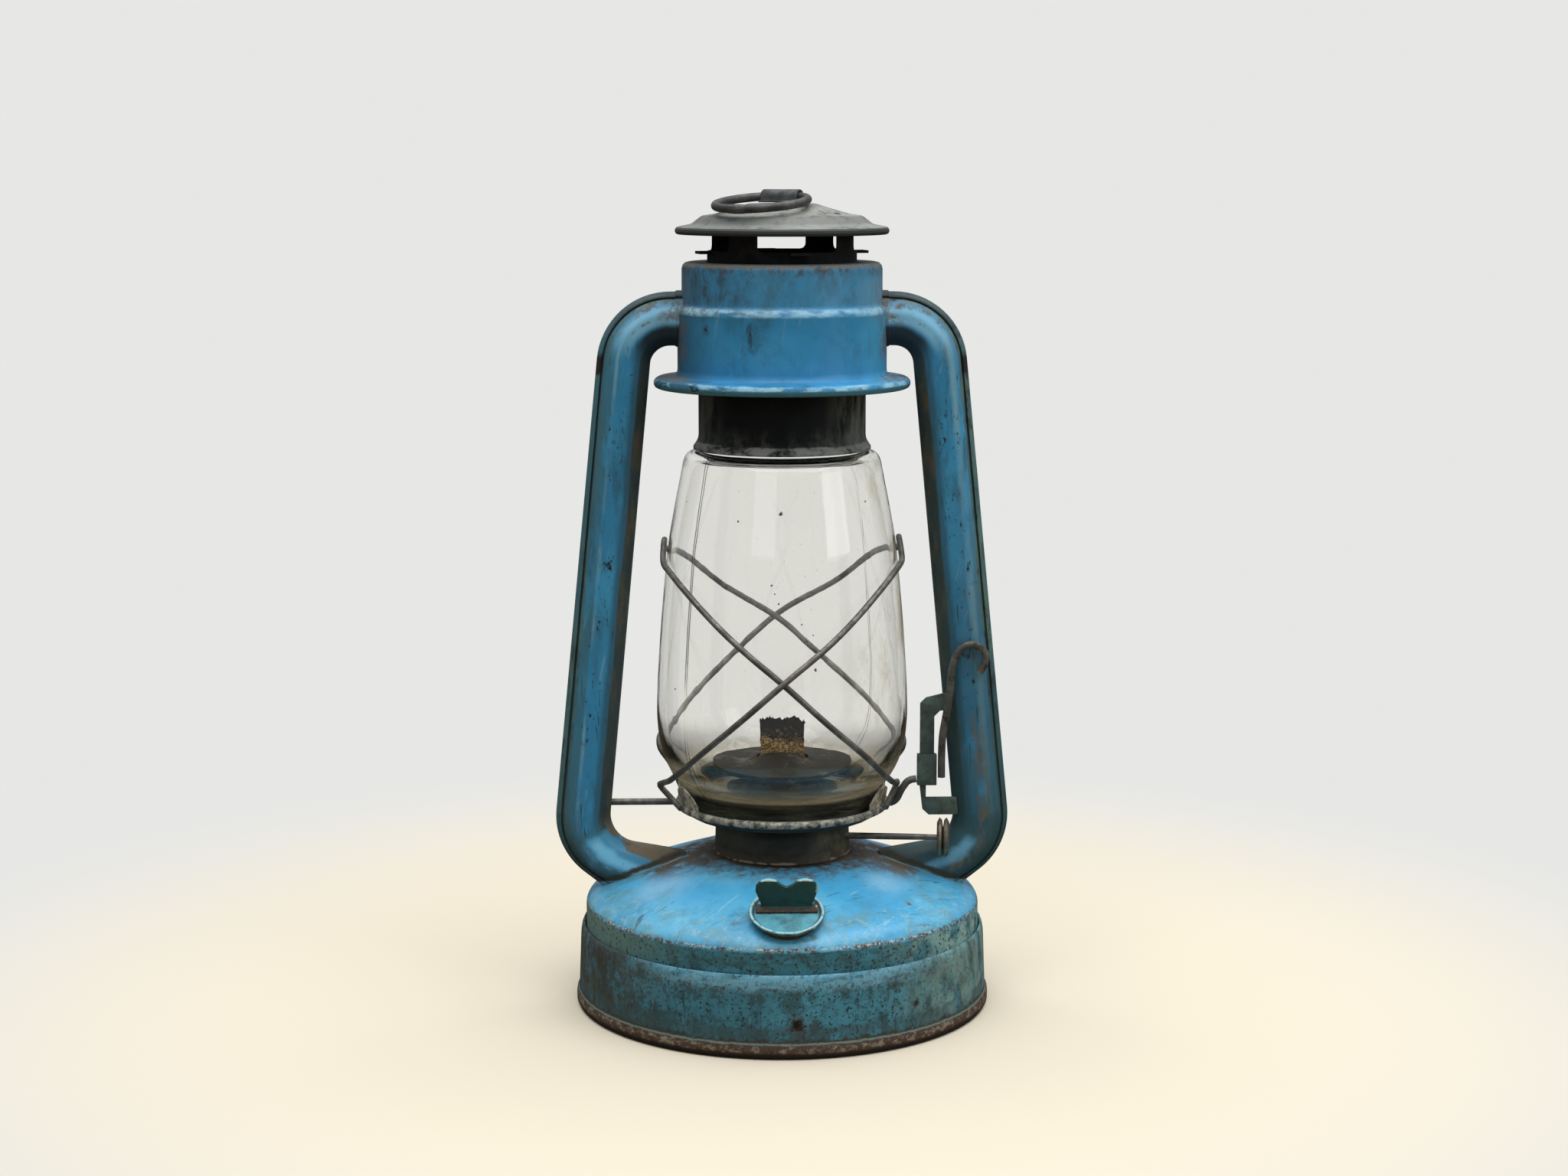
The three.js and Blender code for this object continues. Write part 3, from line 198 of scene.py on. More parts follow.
def roundBar(node, radius, reshape=None):
    # a smooth bar along the middle line of a CAD wire
    line = middleLine(node)
    if reshape:
        line = [reshape(place) for place in line]
    line = softLine(line, modelling["wireSteps"])
    deselectAll()
    bpy.ops.curve.primitive_nurbs_path_add()
    curve = bpy.context.object.data
    curve.splines.clear()
    spline = curve.splines.new("POLY")
    spline.points.add(len(line) - 1)
    for place, point in zip(line, spline.points):
        point.co = (*place, 1)
    curve.bevel_depth = radius * mm
    curve.bevel_resolution = modelling["barSides"]
    curve.use_fill_caps = True
    bpy.ops.object.convert(target="MESH")
    piece = bpy.context.object
    editAll(piece)
    bpy.ops.mesh.normals_make_consistent(inside=False)
    setMode("OBJECT")
    return piece


def bevelEdges(piece, width, segments=2, angle=30):
    modifier = piece.modifiers.new("bevel", "BEVEL")
    modifier.width = width * mm
    modifier.segments = segments
    modifier.limit_method = "ANGLE"
    modifier.angle_limit = math.radians(angle)
    modifier.harden_normals = False


def finishCopy(node, name, body, bevel, angle):
    piece = copyNode(node)
    bevelEdges(piece, *bevel)
    return finishPiece(piece, name, body, [node], angle)


# Material helpers

def tint(code):
    def part(i):
        value = int(code[i:i + 2], 16) / 255
        return value / 12.92 if value <= 0.04045 else ((value + 0.055) / 1.055) ** 2.4
    return (part(0), part(2), part(4), 1)


class Finish:
    # a base coat, with layers laid over it by masks. A layer gives its colour and roughness, then the masks
    # that are multiplied. Patches are given as (low, high, size, detail, stretch, shift, rough), zones as
    # (value, low, high, soft, ragged, size).
    def __init__(self, name, colour, rough, metal=0):
        self.material = bpy.data.materials.new(name)
        self.material.use_nodes = True
        self.tree = self.material.node_tree
        self.shader = self.tree.nodes["Principled BSDF"]
        self.place = self.node("ShaderNodeTexCoord").outputs["Object"]
        self.x, self.y, self.z = self.node("ShaderNodeSeparateXYZ", {0: self.place}).outputs
        self.colour, self.rough, self.metal = tint(colour), rough, metal
        self.relief = 0

    def node(self, kind, inputs=None, **settings):
        made = self.tree.nodes.new(kind)
        for key, value in settings.items():
            setattr(made, key, value)
        for key, value in (inputs or {}).items():
            self.feed(made.inputs[key], value)
        return made

    def feed(self, socket, value):
        if isinstance(value, bpy.types.NodeSocket):
            self.tree.links.new(value, socket)
        else:
            socket.default_value = value

    def noise(self, size, detail=3, stretch=1, shift=0, rough=0.6, turn=(0, 0, 0)):
        # size is that of its patches in millimetres; stretch draws them out along z, or along all three axes
        stretch = stretch if isinstance(stretch, tuple) else (1, 1, stretch)
        mapping = self.node(
            "ShaderNodeMapping",
            {"Vector": self.place, "Location": (shift, shift, shift), "Rotation": turn, "Scale": stretch},
            vector_type="TEXTURE",
        )
        scale = 1 / (size * mm)
        inputs = {"Vector": mapping.outputs[0], "Scale": scale, "Detail": detail, "Roughness": rough}
        return self.node("ShaderNodeTexNoise", inputs).outputs["Fac"]

    def maths(self, operation, a, b=0):
        return self.node("ShaderNodeMath", {0: a, 1: b}, operation=operation).outputs[0]

    def ramp(self, value, low, high):
        inputs = {"Value": value, "From Min": low, "From Max": high}
        return self.node("ShaderNodeMapRange", inputs, interpolation_type="SMOOTHSTEP").outputs[0]

    def patches(self, low, high, *noise):
        return self.ramp(self.noise(*noise), low, high)

    def aside(self, low, high):
        # by the distance from the middle plane, to the left or right
        return self.ramp(self.maths("ABSOLUTE", self.x), low, high)

    def zone(self, value, low, high, soft, ragged=0, size=4):
        # 1 between two values in millimetres, with soft or ragged edges
        value = self.maths("MULTIPLY", value, 1000)
        if ragged:
            wander = self.maths("MULTIPLY", self.maths("SUBTRACT", self.noise(size, 4), 0.5), 2 * ragged)
            value = self.maths("ADD", value, wander)
        up = self.ramp(value, low - soft, low + soft)
        down = self.ramp(value, high + soft, high - soft)
        return self.maths("MULTIPLY", up, down)

    def scratches(self, size, width, angle=0, shift=0, flat=False):
        # thin broken lines along one direction, across the front or, if flat, seen from above
        angle = math.radians(angle)
        turn, stretch = ((0, 0, angle), (24, 1, 24)) if flat else ((0, angle, 0), (24, 24, 1))
        drawn = self.noise(size, 1, stretch, shift, 0.4, turn)
        line = self.maths("ABSOLUTE", self.maths("SUBTRACT", drawn, 0.5))
        stretch = (5, 1, 5) if flat else (5, 5, 1)
        broken = self.ramp(self.noise(size * 2, 3, stretch, shift + 3, 0.6, turn), 0.58, 0.64)
        return self.maths("MULTIPLY", self.ramp(line, width, width / 3), broken)

    def specks(self, size, share, shift=0):
        low = 0.72 - share
        return self.patches(low, low + 0.05, size, 6, 1, shift, 0.7)

    def blot(self, centre, reach, ragged=0.5, soft=0.4):
        # a ragged spot round a point
        gaps = [self.maths("SUBTRACT", a, c * mm) for a, c in zip((self.x, self.y, self.z), centre)]
        squares = [self.maths("POWER", g, 2) for g in gaps]
        away = self.maths("SQRT", self.maths("ADD", self.maths("ADD", squares[0], squares[1]), squares[2]))
        noise = self.maths("SUBTRACT", self.noise(reach * 0.7, 5), 0.5)
        wander = self.maths("MULTIPLY", noise, 2 * reach * ragged * mm)
        return self.ramp(self.maths("ADD", away, wander), reach * mm, reach * (1 - soft) * mm)

    def radius(self):
        squares = [self.maths("POWER", value, 2) for value in (self.x, self.y)]
        return self.maths("SQRT", self.maths("ADD", *squares))

    def mask(self, part):
        # a row of numbers stands for patches, or for a zone where it starts with a value
        if not isinstance(part, tuple):
            return part
        return self.zone(*part) if isinstance(part[0], bpy.types.NodeSocket) else self.patches(*part)

    def joined(self, operation, masks):
        whole, *others = [self.mask(part) for part in masks]
        for other in others:
            whole = self.maths(operation, whole, other)
        return whole

    def times(self, *masks):
        return self.joined("MULTIPLY", masks)

    def either(self, *masks):
        return self.joined("MAXIMUM", masks)

    def blendValue(self, share, a, b):
        return self.node("ShaderNodeMix", {0: share, 2: a, 3: b}).outputs[0]

    def mixColours(self, share, a, b):
        return self.node("ShaderNodeMix", {0: share, 6: a, 7: b}, data_type="RGBA").outputs[2]

    def mixShaders(self, share, a, b):
        return self.node("ShaderNodeMixShader", {0: share, 1: a.outputs[0], 2: b.outputs[0]})

    def surface(self, shader):
        self.feed(self.tree.nodes["Material Output"].inputs["Surface"], shader.outputs[0])

    def layer(self, colour, rough, *masks, metal=None, lift=0):
        mask = self.times(*masks)
        self.colour = self.mixColours(mask, self.colour, tint(colour))
        if rough is not None:
            self.rough = self.blendValue(mask, self.rough, rough)
        if metal is not None:
            self.metal = self.blendValue(mask, self.metal, metal)
        if lift:
            self.relief = self.maths("ADD", self.relief, self.maths("MULTIPLY", mask, lift))

    def done(self, grain=0.05, grainSize=1.2, distance=0.4, shine=0.5):
        self.feed(self.shader.inputs["Base Color"], self.colour)
        self.feed(self.shader.inputs["Roughness"], self.rough)
        self.feed(self.shader.inputs["Metallic"], self.metal)
        self.feed(self.shader.inputs["Specular IOR Level"], shine)
        height = self.maths("ADD", self.relief, self.maths("MULTIPLY", self.noise(grainSize, 3), grain))
        bump = self.node("ShaderNodeBump", {"Height": height, "Strength": 1.0, "Distance": distance * mm})
        self.feed(self.shader.inputs["Normal"], bump.outputs[0])
        return self.material


def coat(piece, material):
    piece.data.materials.clear()
    piece.data.materials.append(material)


# Paint that is shared by the blue pieces: fading, streaks, dark specks, scuffs and rust
def bluePaint(name, look):
    paint = Finish(name, look["colour"], look["rough"])
    run, rough, flat = look["run"], look["rough"], look.get("flat", False)
    paint.layer(look["pale"], rough + 0.03, (0.42, 0.68, 32, 5))
    paint.layer(look["deep"], rough + 0.08, (0.48, 0.7, 17, 7, run, 4, 0.66))
    paint.layer(look["deep"], rough + 0.12, (0.5, 0.68, 5, 7, run, 8, 0.75), look["dust"])
    paint.layer(look["scuff"], 0.6, paint.scratches(1.6, 0.03, look["lean"] + 14, 2, flat), look["hair"])
    paint.layer("1d2626", 0.7, paint.scratches(1.3, 0.04, look["lean"], 6, flat), look["cuts"], lift=-0.2)
    paint.layer("1f2220", 0.85, paint.specks(1.2, look["specks"], 1), lift=-0.4)
    paint.layer("3d2a1e", 0.9, paint.specks(3, look["rust"], 5), lift=-0.4)
    return paint


# Tank: the cup with its beaded foot, and the upper shell with its band and dome
tank = {
    "cup": [
        (75.6, 3.6), (75.7, 0.7), (76.2, 0.1), (77.3, 0), (78.4, 0.4), (78.95, 1.5), (79, 3), (78.85, 4.4),
        (78.4, 5.3), (78.05, 6), (77.9, 7.5), (77.2, 25.6), (77.05, 27.6), (76.75, 29.3), (76.4, 30.3),
        (76, 30.7), (75.6, 30.6), (75.4, 30), (75.4, 27), (76.3, 24), (77, 7), (76.4, 5), (75.2, 4.4),
        (0.0005, 4.3), (0.0005, 3.4), (75.6, 3.6),
    ],
    "bandFoot": [(74.1, 26.6), (75, 26.6), (75, 38)],
    "shoulder": [(75, 38), (75, 41.3), (70, 44.3)],
    "crown": [(70, 44.3), (37.4, 57.6), (26, 57.6)],
    "hole": [(20.5, 57.6), (20.5, 56.7), (26, 56.7), (37.4, 56.2), (68.9, 43.5), (74.1, 38)],
    "grime": (((-34, -9, 54.5), 9), ((35, -8, 54.5), 10), ((43, -16, 52), 7)),
}


def makeTank():
    cup = turnProfile(tank["cup"], 192)
    bevelEdges(cup, 0.15)
    finishPiece(cup, "tankCup", "frame", ["fount_base"])
    dome = [*tank["bandFoot"], *curveLine(*tank["shoulder"], 7)[1:], *curveLine(*tank["crown"], 14)[1:]]
    top = turnProfile([*dome, *tank["hole"], dome[0]], 192)
    finishPiece(top, "tankTop", "frame", ["fount_top"])
    cupLook = {
        "colour": "377a8f", "pale": "448ea6", "deep": "264d56", "scuff": "7f9fa4",
        "rough": 0.5, "lean": 86, "hair": 0.35, "cuts": 0.9,
        "run": 1.3, "dust": 0.8, "specks": 0.15, "rust": 0.08,
    }
    paint = bluePaint("cupPaint", cupLook)
    paint.layer("274548", 0.62, (0.48, 0.6, 8, 7, 0.8, 2, 0.76), 0.75)
    chips = paint.times((0.61, 0.645, 1.1, 7, 2.2, 31, 0.7), 0.85)
    paint.layer("161d1d", 0.8, chips, lift=-0.4)
    # painted highlight: a lighter band along the rounded top of the cup, fading towards the sides
    lit = paint.times((paint.z, 25.6, 31, 1.6, 2.4, 7), paint.aside(0.066, 0.03))
    paint.layer("6ba6be", 0.4, lit, (0.34, 0.54, 12, 6, 0.4, 5, 0.65), 0.85)
    edge = paint.times((paint.z, 23, 27.4, 1, 2, 3), paint.specks(1.5, 0.19, 7))
    paint.layer("4b3f33", 0.8, edge, 0.75)
    around = paint.aside(0.038, 0.072)
    paint.layer("46503f", 0.75, around, (0.38, 0.6, 10, 7, 1, 6, 0.7), 0.85)
    # painted light: the right side of the cup is paler, as if lit from the right
    right = paint.times(paint.ramp(paint.x, 0.03, 0.066), (0.36, 0.6, 6, 6, 2, 12))
    paint.layer("7da3a0", 0.55, right, 0.7)
    left = paint.ramp(paint.x, -0.036, -0.072)
    paint.layer("38352a", 0.8, left, (0.38, 0.58, 5, 7, 2, 9, 0.7), 0.85)
    paint.layer("365256", 0.7, (paint.z, 4, 12, 1, 3.4, 6), (0.3, 0.56, 7, 6), 0.7)
    paint.layer("33352d", 0.8, (paint.z, 4.4, 7, 0.8, 2, 3))
    paint.layer("66766f", 0.6, (paint.z, 5.3, 6, 0.25, 0.5, 3))
    paint.layer("4a372a", 0.85, (paint.z, -2, 5.1, 0.4, 0.6, 3), lift=-0.3)
    # the upper bead is lighter: worn metal and painted light. Under it the bottom of the bead is painted near
    # black: rust and painted shade
    bead = paint.zone(paint.z, 2.2, 5.2, 0.9, 1, 5)
    paint.layer("8f8675", 0.6, bead, (0.48, 0.6, 3.4, 7, 0.6, 2, 0.75), metal=0.3)
    paint.layer("150f0b", 0.9, (paint.z, -2, 2.4, 0.6, 0.8, 3), 0.8)
    paint.layer("3b2c22", 0.8, paint.blot((3.6, -77, 12.2), 7.5, 0.9, 0.8), 0.55)
    paint.layer("2c1c14", 0.9, paint.blot((3.6, -77, 12.5), 3, 0.9), lift=-0.5)
    paint.layer("0d0908", 0.95, paint.blot((3, -77, 12.8), 1.6, 0.8), lift=-0.5)
    paint.layer("2a1a17", 0.9, paint.blot((46.5, -61, 15.4), 2.6, 0.7, 0.7), lift=-0.4)
    paint.layer("241a14", 0.9, paint.blot((41, -65, 14.6), 1.2, 0.8), lift=-0.4)
    coat(cup, paint.done(0.1, 1.8))
    topLook = {
        "colour": "44a5d4", "pale": "5fb4d8", "deep": "3a8fb8", "scuff": "b9d2d8",
        "rough": 0.3, "lean": 35, "hair": 0.4, "cuts": 0.7,
        "run": 1, "dust": 0.35, "specks": 0.035, "rust": 0.02, "flat": True,
    }
    paint = bluePaint("domePaint", topLook)
    reach = paint.radius()
    outer = paint.zone(reach, 58, 80, 5, 7, 14)
    paint.layer("5a8f9c", 0.5, outer, (0.42, 0.64, 11, 7, 1, 3, 0.68), 0.75)
    chalk = paint.times((reach, 62, 76, 4, 4, 8), (0.5, 0.62, 3, 7, 1, 13, 0.75))
    paint.layer("8fb7bf", 0.55, chalk, 0.5)
    # painted reflection: two pale sheen patches on the dome, one at the left and one at the right
    sheen = paint.either(paint.blot((-47, -28, 52), 17, 0.5, 0.9), paint.blot((37, -30, 53), 13, 0.5, 0.9))
    paint.layer("a5cee4", 0.36, sheen, 0.34)
    grime = paint.zone(reach, 10, 37, 6, 9, 8)
    paint.layer("5a4c3b", 0.85, grime, (0.4, 0.6, 4, 7, 1, 8, 0.75), lift=0.2)
    paint.layer("30271e", 0.9, (reach, 10, 28.4, 1.4, 3, 4), lift=0.4)
    tubeSide = paint.times((reach, 24, 54, 5, 6, 6), paint.ramp(paint.maths("ABSOLUTE", paint.y), 0.03, 0.01))
    paint.layer("51473a", 0.85, tubeSide, (0.32, 0.54, 5, 7, 1, 2, 0.7))
    rub = paint.either(paint.blot((-17.5, -60, 48), 7, 1, 0.8), paint.blot((7, -71, 43.5), 6, 1, 0.8))
    paint.layer("3a4c4c", 0.6, rub, (0.4, 0.6, 2.4, 6, (3, 1, 1)), 0.7)
    paint.layer("6b5a48", 0.8, paint.blot((45, -42, 46), 2.2, 1), lift=-0.3)
    band = paint.zone(paint.z, 20, 38.6, 0.5, 0.5, 3)
    paint.layer("2f7182", 0.5, band)
    paint.layer("3d8ba2", 0.45, band, (0.5, 0.7, 12, 6, 0.4, 14), 0.7)
    paint.layer("2b5056", 0.6, band, (0.45, 0.62, 6, 7, 0.6, 0, 0.72), 0.85)
    # painted light: the right side of the band is paler, as if lit from the right
    paint.layer("93bdb8", 0.5, band, paint.ramp(paint.x, 0.026, 0.066), (0.36, 0.58, 9, 6), 0.8)
    paint.layer("5d7f7c", 0.65, band, paint.ramp(paint.x, -0.03, -0.07), (0.2, 0.5, 7, 6, 1, 3))
    paint.layer("3c3228", 0.85, band, paint.specks(1.3, 0.16, 9), lift=-0.4)
    for place, reach in tank["grime"]:
        paint.layer("5b5344", 0.8, paint.blot(place, reach, 0.9, 0.9), 0.75)
    worn = paint.zone(paint.z, 38.6, 40.1, 0.4, 1, 2)
    ends = paint.aside(0.02, 0.05)
    some = paint.either(paint.times(ends, 0.9), (0.48, 0.54, 9, 5, 1, 1))
    paint.layer("54412f", 0.8, worn, some, (0.44, 0.54, 1.4, 6, 1, 0, 0.7))
    chips = paint.times((paint.z, 39.3, 40, 0.25, 0.7, 2), (0.49, 0.58, 1, 5, 1, 4))
    paint.layer("c9c8bd", 0.42, chips, (0.4, 0.56, 22, 4, 1, 21), metal=0.3)
    coat(top, paint.done(0.05, 3))
    print("tank made")


# Air tubes, from the drum down into the dome. The section runs from the inner to the outer edge:
# rounded inner corner, crease, and a seam with its groove.
tubes = {
    "halfWidth": 9.9, "bend": 17.5, "stub": (41.6, 260.3), "entry": 35.4,
    "outer": {"centre": (58.4, 71.5), "bend": 27.8, "dip": 38},
    "inner": {"centre": (54.6, 71.2), "bend": 11, "dip": 10},
    "reach": 86.17, "bendSteps": 16, "straightSteps": 8, "run": 19.8, "flare": 0.9,
    "section": [
        (-9.9, 2.6), (-9.4, 3.7), (-6.7, 6.3), (-5.6, 6.9), (-1.6, 7.65), (1.5, 8.1), (2.3, 8.15),
        (3.1, 7.95), (5.2, 7.2), (6.2, 6.65), (7, 5.8), (7.3, 5.2), (7.4, 4.3), (7.8, 4.2), (8.05, 4.9),
        (8.6, 4.7), (9.5, 3.4), (9.9, 2),
    ],
}


def tubeEdge(outward):
    lower = tubes["outer" if outward > 0 else "inner"]
    stubX, stubZ = tubes["stub"]
    upper = (stubX, stubZ - tubes["bend"])
    upperRadius = tubes["bend"] + outward * tubes["halfWidth"]
    dx, dz = lower["centre"][0] - upper[0], lower["centre"][1] - upper[1]
    tangent = math.atan2(dz, dx) + math.acos((upperRadius - lower["bend"]) / math.hypot(dx, dz))
    steps = tubes["bendSteps"]

    def arc(centre, radius, start, end):
        angles = [start + (end - start) * i / steps for i in range(steps + 1)]
        return [(centre[0] + radius * math.cos(a), centre[1] + radius * math.sin(a)) for a in angles]

    top = arc(upper, upperRadius, math.pi / 2, tangent)
    dip = math.radians(lower["dip"])
    foot = arc(lower["centre"], lower["bend"], tangent, dip - math.pi / 2)
    parts = tubes["straightSteps"]
    straight = [tuple(a + (b - a) * i / parts for a, b in zip(top[-1], foot[0])) for i in range(1, parts)]
    start = upper[1] + upperRadius
    stub = [(tubes["entry"], start), (39.3, start), (39.9, start)]
    x, z = foot[-1]
    end = (x - tubes["run"] * math.cos(dip), z - tubes["run"] * math.sin(dip))
    return [*stub, *top, *straight, *foot, end]


def tubeStations():
    # middle, tilt of the line from the inner to the outer edge, and width
    stations = []
    for (x1, z1), (x2, z2) in zip(tubeEdge(-1), tubeEdge(1)):
        tilt = math.atan2(z2 - z1, x2 - x1)
        stations.append(((x1 + x2) / 2, (z1 + z2) / 2, tilt, math.hypot(x2 - x1, z2 - z1)))
    return stations


def turnAboutY(angle, x, z):
    bpy.ops.transform.rotate(value=angle, orient_axis="Y", center_override=(x * mm, 0, z * mm))


def drawFace(points):
    # a flat face, its outline extruded from one vertex
    deselectAll()
    bpy.ops.mesh.primitive_plane_add(size=mm)
    piece = bpy.context.object
    setMode("EDIT")
    bpy.ops.mesh.select_mode(type="VERT")
    selectAll()
    bpy.ops.mesh.merge(type="CENTER")
    bpy.ops.transform.translate(value=tuple(v * mm for v in points[0]))
    for last, point in zip(points, points[1:]):
        step = tuple((b - a) * mm for a, b in zip(last, point))
        bpy.ops.mesh.extrude_region_move(TRANSFORM_OT_translate={"value": step})
    selectAll()
    bpy.ops.mesh.edge_face_add()
    return piece


def makeTube(name, side, node):
    stations = tubeStations()
    x, z, tilt, width = stations[0]
    front = [(x + across, -depth, z) for across, depth in tubes["section"]]
    piece = drawFace([*front, *[(px, -py, pz) for px, py, pz in reversed(front)]])
    turnAboutY(tilt, x, z)
    flare = 1 + tubes["flare"] / width
    bpy.ops.transform.resize(value=(1, flare, flare), center_override=(x * mm, 0, z * mm))
    width, depth = width * flare, flare
    for number, (nextX, nextZ, nextTilt, nextWidth) in enumerate(stations[1:], 1):
        nextDepth = 1
        if number == 1:
            nextWidth, nextDepth = nextWidth * flare, flare
        shift = ((nextX - x) * mm, 0, (nextZ - z) * mm)
        bpy.ops.mesh.extrude_region_move(TRANSFORM_OT_translate={"value": shift})
        turnAboutY(-tilt, nextX, nextZ)
        stretch = (nextWidth / width, nextDepth / depth, 1)
        bpy.ops.transform.resize(value=stretch, center_override=(nextX * mm, 0, nextZ * mm))
        turnAboutY(nextTilt, nextX, nextZ)
        x, z, tilt, width, depth = nextX, nextZ, nextTilt, nextWidth, nextDepth
    if side < 0:
        selectAll()
        bpy.ops.transform.resize(value=(-1, 1, 1), center_override=(0, 0, 0))
    selectAll()
    bpy.ops.mesh.normals_make_consistent(inside=False)
    setMode("OBJECT")
    measures = ("across", "along", "aboveDome")
    for measure in measures:
        piece.data.attributes.new(measure, "FLOAT", "POINT")
    across, along, above = (piece.data.attributes[measure].data for measure in measures)
    for vertex in piece.data.vertices:
        vertex.co[0] = max(-tubes["reach"] * mm, min(tubes["reach"] * mm, vertex.co[0]))
        px, pz = side * vertex.co[0] * 1000, vertex.co[2] * 1000
        best = min(range(len(stations)), key=lambda i: math.hypot(px - stations[i][0], pz - stations[i][1]))
        sx, sz, turn, _ = stations[best]
        across[vertex.index].value = ((px - sx) * math.cos(turn) + (pz - sz) * math.sin(turn)) / 10
        along[vertex.index].value = best / (len(stations) - 1)
        above[vertex.index].value = pz - domeHeight(math.hypot(px, vertex.co[1] * 1000))
    return finishPiece(piece, name, "frame", [node], 28)


def domeHeight(radius):
    line = curveLine(*tank["crown"], 24)
    for (r1, z1), (r2, z2) in zip(line, line[1:]):
        if r2 <= radius <= r1:
            return z1 + (z2 - z1) * (r1 - radius) / (r1 - r2)
    return line[-1][1] if radius < line[-1][0] else line[0][1]


def makeTubes():
    look = {
        "colour": "2b82b0", "pale": "3793c2", "deep": "265a70", "scuff": "86b6c6",
        "rough": 0.4, "lean": 88, "hair": 0.3, "cuts": 0.8,
        "run": 4, "dust": 0.7, "specks": 0.07, "rust": 0.05,
    }
    paint = bluePaint("tubePaint", look)

    def mark(name):
        return paint.node("ShaderNodeAttribute", attribute_name=name).outputs["Fac"]

    across, along, above = mark("across"), mark("along"), mark("aboveDome")
    wander = paint.maths("MULTIPLY", paint.maths("SUBTRACT", paint.noise(9, 5, 4), 0.5), 0.24)
    wavy = paint.maths("ADD", across, wander)
    streaks = paint.patches(0.45, 0.62, 3, 5, 14, 3)
    paint.layer("4c676a", 0.55, paint.ramp(wavy, 0.3, 0.56), streaks, 0.6)
    outer = paint.ramp(wavy, 0.6, 0.7)
    paint.layer("3c646b", 0.6, outer)
    paint.layer("557672", 0.6, outer, (0.44, 0.6, 7, 7, 3, 2, 0.7))
    paint.layer("232b28", 0.75, outer, (0.5, 0.62, 4, 7, 3, 12, 0.72))
    paint.layer("245268", 0.5, paint.ramp(wavy, -0.28, -0.5), 0.75)
    inner = paint.ramp(wavy, -0.56, -0.66)
    paint.layer("2b3d3f", 0.75, inner)
    paint.layer("4a4a3e", 0.8, inner, (0.48, 0.62, 6, 7, 3, 5, 0.7))
    far = paint.maths("MULTIPLY", across, 0.001)
    atLeft = paint.ramp(paint.x, -0.02, -0.04)
    # painted highlights along the crease of both tubes and along the ridge of the right tube
    crease = paint.zone(far, 0.16, 0.27, 0.05, 0.03, 12)
    ridgeHighlight = paint.times(paint.ramp(paint.x, 0.02, 0.04), (far, 0.24, 0.46, 0.08, 0.05, 9))
    paint.layer("6f9fb4", 0.4, ridgeHighlight, (0.3, 0.56, 12, 6, 5, 51), 0.75)
    paint.layer("7ea6b5", 0.4, crease, (0.44, 0.66, 9, 6, 5), 0.7)
    paint.layer("34544f", 0.65, atLeft, paint.ramp(far, 0.0006, 0.0008), (0.36, 0.56, 8, 7, 4, 44, 0.7), 0.8)
    strip = paint.times(atLeft, paint.ramp(far, 0.00027, 0.00031))
    paint.layer("35697a", 0.55, strip, (0.34, 0.6, 10, 7, 4, 41, 0.68), 0.75)
    # painted shade in the seam groove
    groove = paint.zone(far, 0.73, 0.8, 0.03, 0.03, 8)
    paint.layer("152229", 0.75, groove, 0.85)
    worn = paint.times((far, 0.1, 0.34, 0.08, 0.1, 5), (0.54, 0.62, 3, 7, 7, 17, 0.7))
    paint.layer("5b6560", 0.7, worn, 0.7)
    bend = paint.ramp(along, 0.44, 0.24)
    # painted highlight along the top of the upper bend
    upper = paint.times(bend, (far, -0.16, 0.5, 0.14, 0.06, 9))
    paint.layer("84c4e8", 0.3, upper, (0.24, 0.4, 15, 5, 1, 5), 0.95)
    paint.layer(
        "675f52", 0.8, bend, (far, 0.44, 0.66, 0.06, 0.1, 6), (0.47, 0.6, 4, 7, 1, 0, 0.7), 0.8, lift=0.2,
    )
    paint.layer("5d564a", 0.8, bend, (far, 0.04, 0.12, 0.04, 0.05, 6), (0.5, 0.62, 4, 7, 1, 2, 0.7), 0.8)
    stub = paint.ramp(along, 0.17, 0.06)
    paint.layer("6f6557", 0.85, stub, (0.44, 0.6, 4, 7, 1, 0, 0.7), 0.75, lift=0.2)
    # painted shade on the inner, lower part of the upper bend
    paint.layer("16303d", 0.6, bend, paint.ramp(wavy, -0.14, -0.36))
    paint.layer("22353b", 0.65, bend, paint.ramp(across, 0.7, 0.8), 0.8)
    foot = paint.ramp(along, 0.56, 0.86)
    paint.layer("35626c", 0.6, foot, (0.42, 0.6, 12, 7, 1, 7, 0.68))
    # painted light: a lighter stretch on the lower bend of each tube
    paint.layer("4ea2cc", 0.35, paint.ramp(along, 0.74, 0.82), (far, -0.8, 0.1, 0.1, 0.1, 12), 0.65)
    paint.layer("6e6350", 0.85, foot, paint.ramp(across, -0.74, -0.84), (0.25, 0.5, 6, 6), lift=0.2)
    paint.layer("284448", 0.6, foot, paint.ramp(wavy, 0.3, 0.6), 0.8)
    dull = paint.times(paint.ramp(paint.x, 0, 0.02), paint.ramp(along, 0.46, 0.66))
    paint.layer("24484e", 0.6, dull, (0.26, 0.46, 12, 6, 2, 27), 0.9)
    paint.layer("5f5a49", 0.75, dull, (far, -0.1, 0.36, 0.1, 0.2, 8), (0.46, 0.6, 6, 7, 4, 22, 0.7))
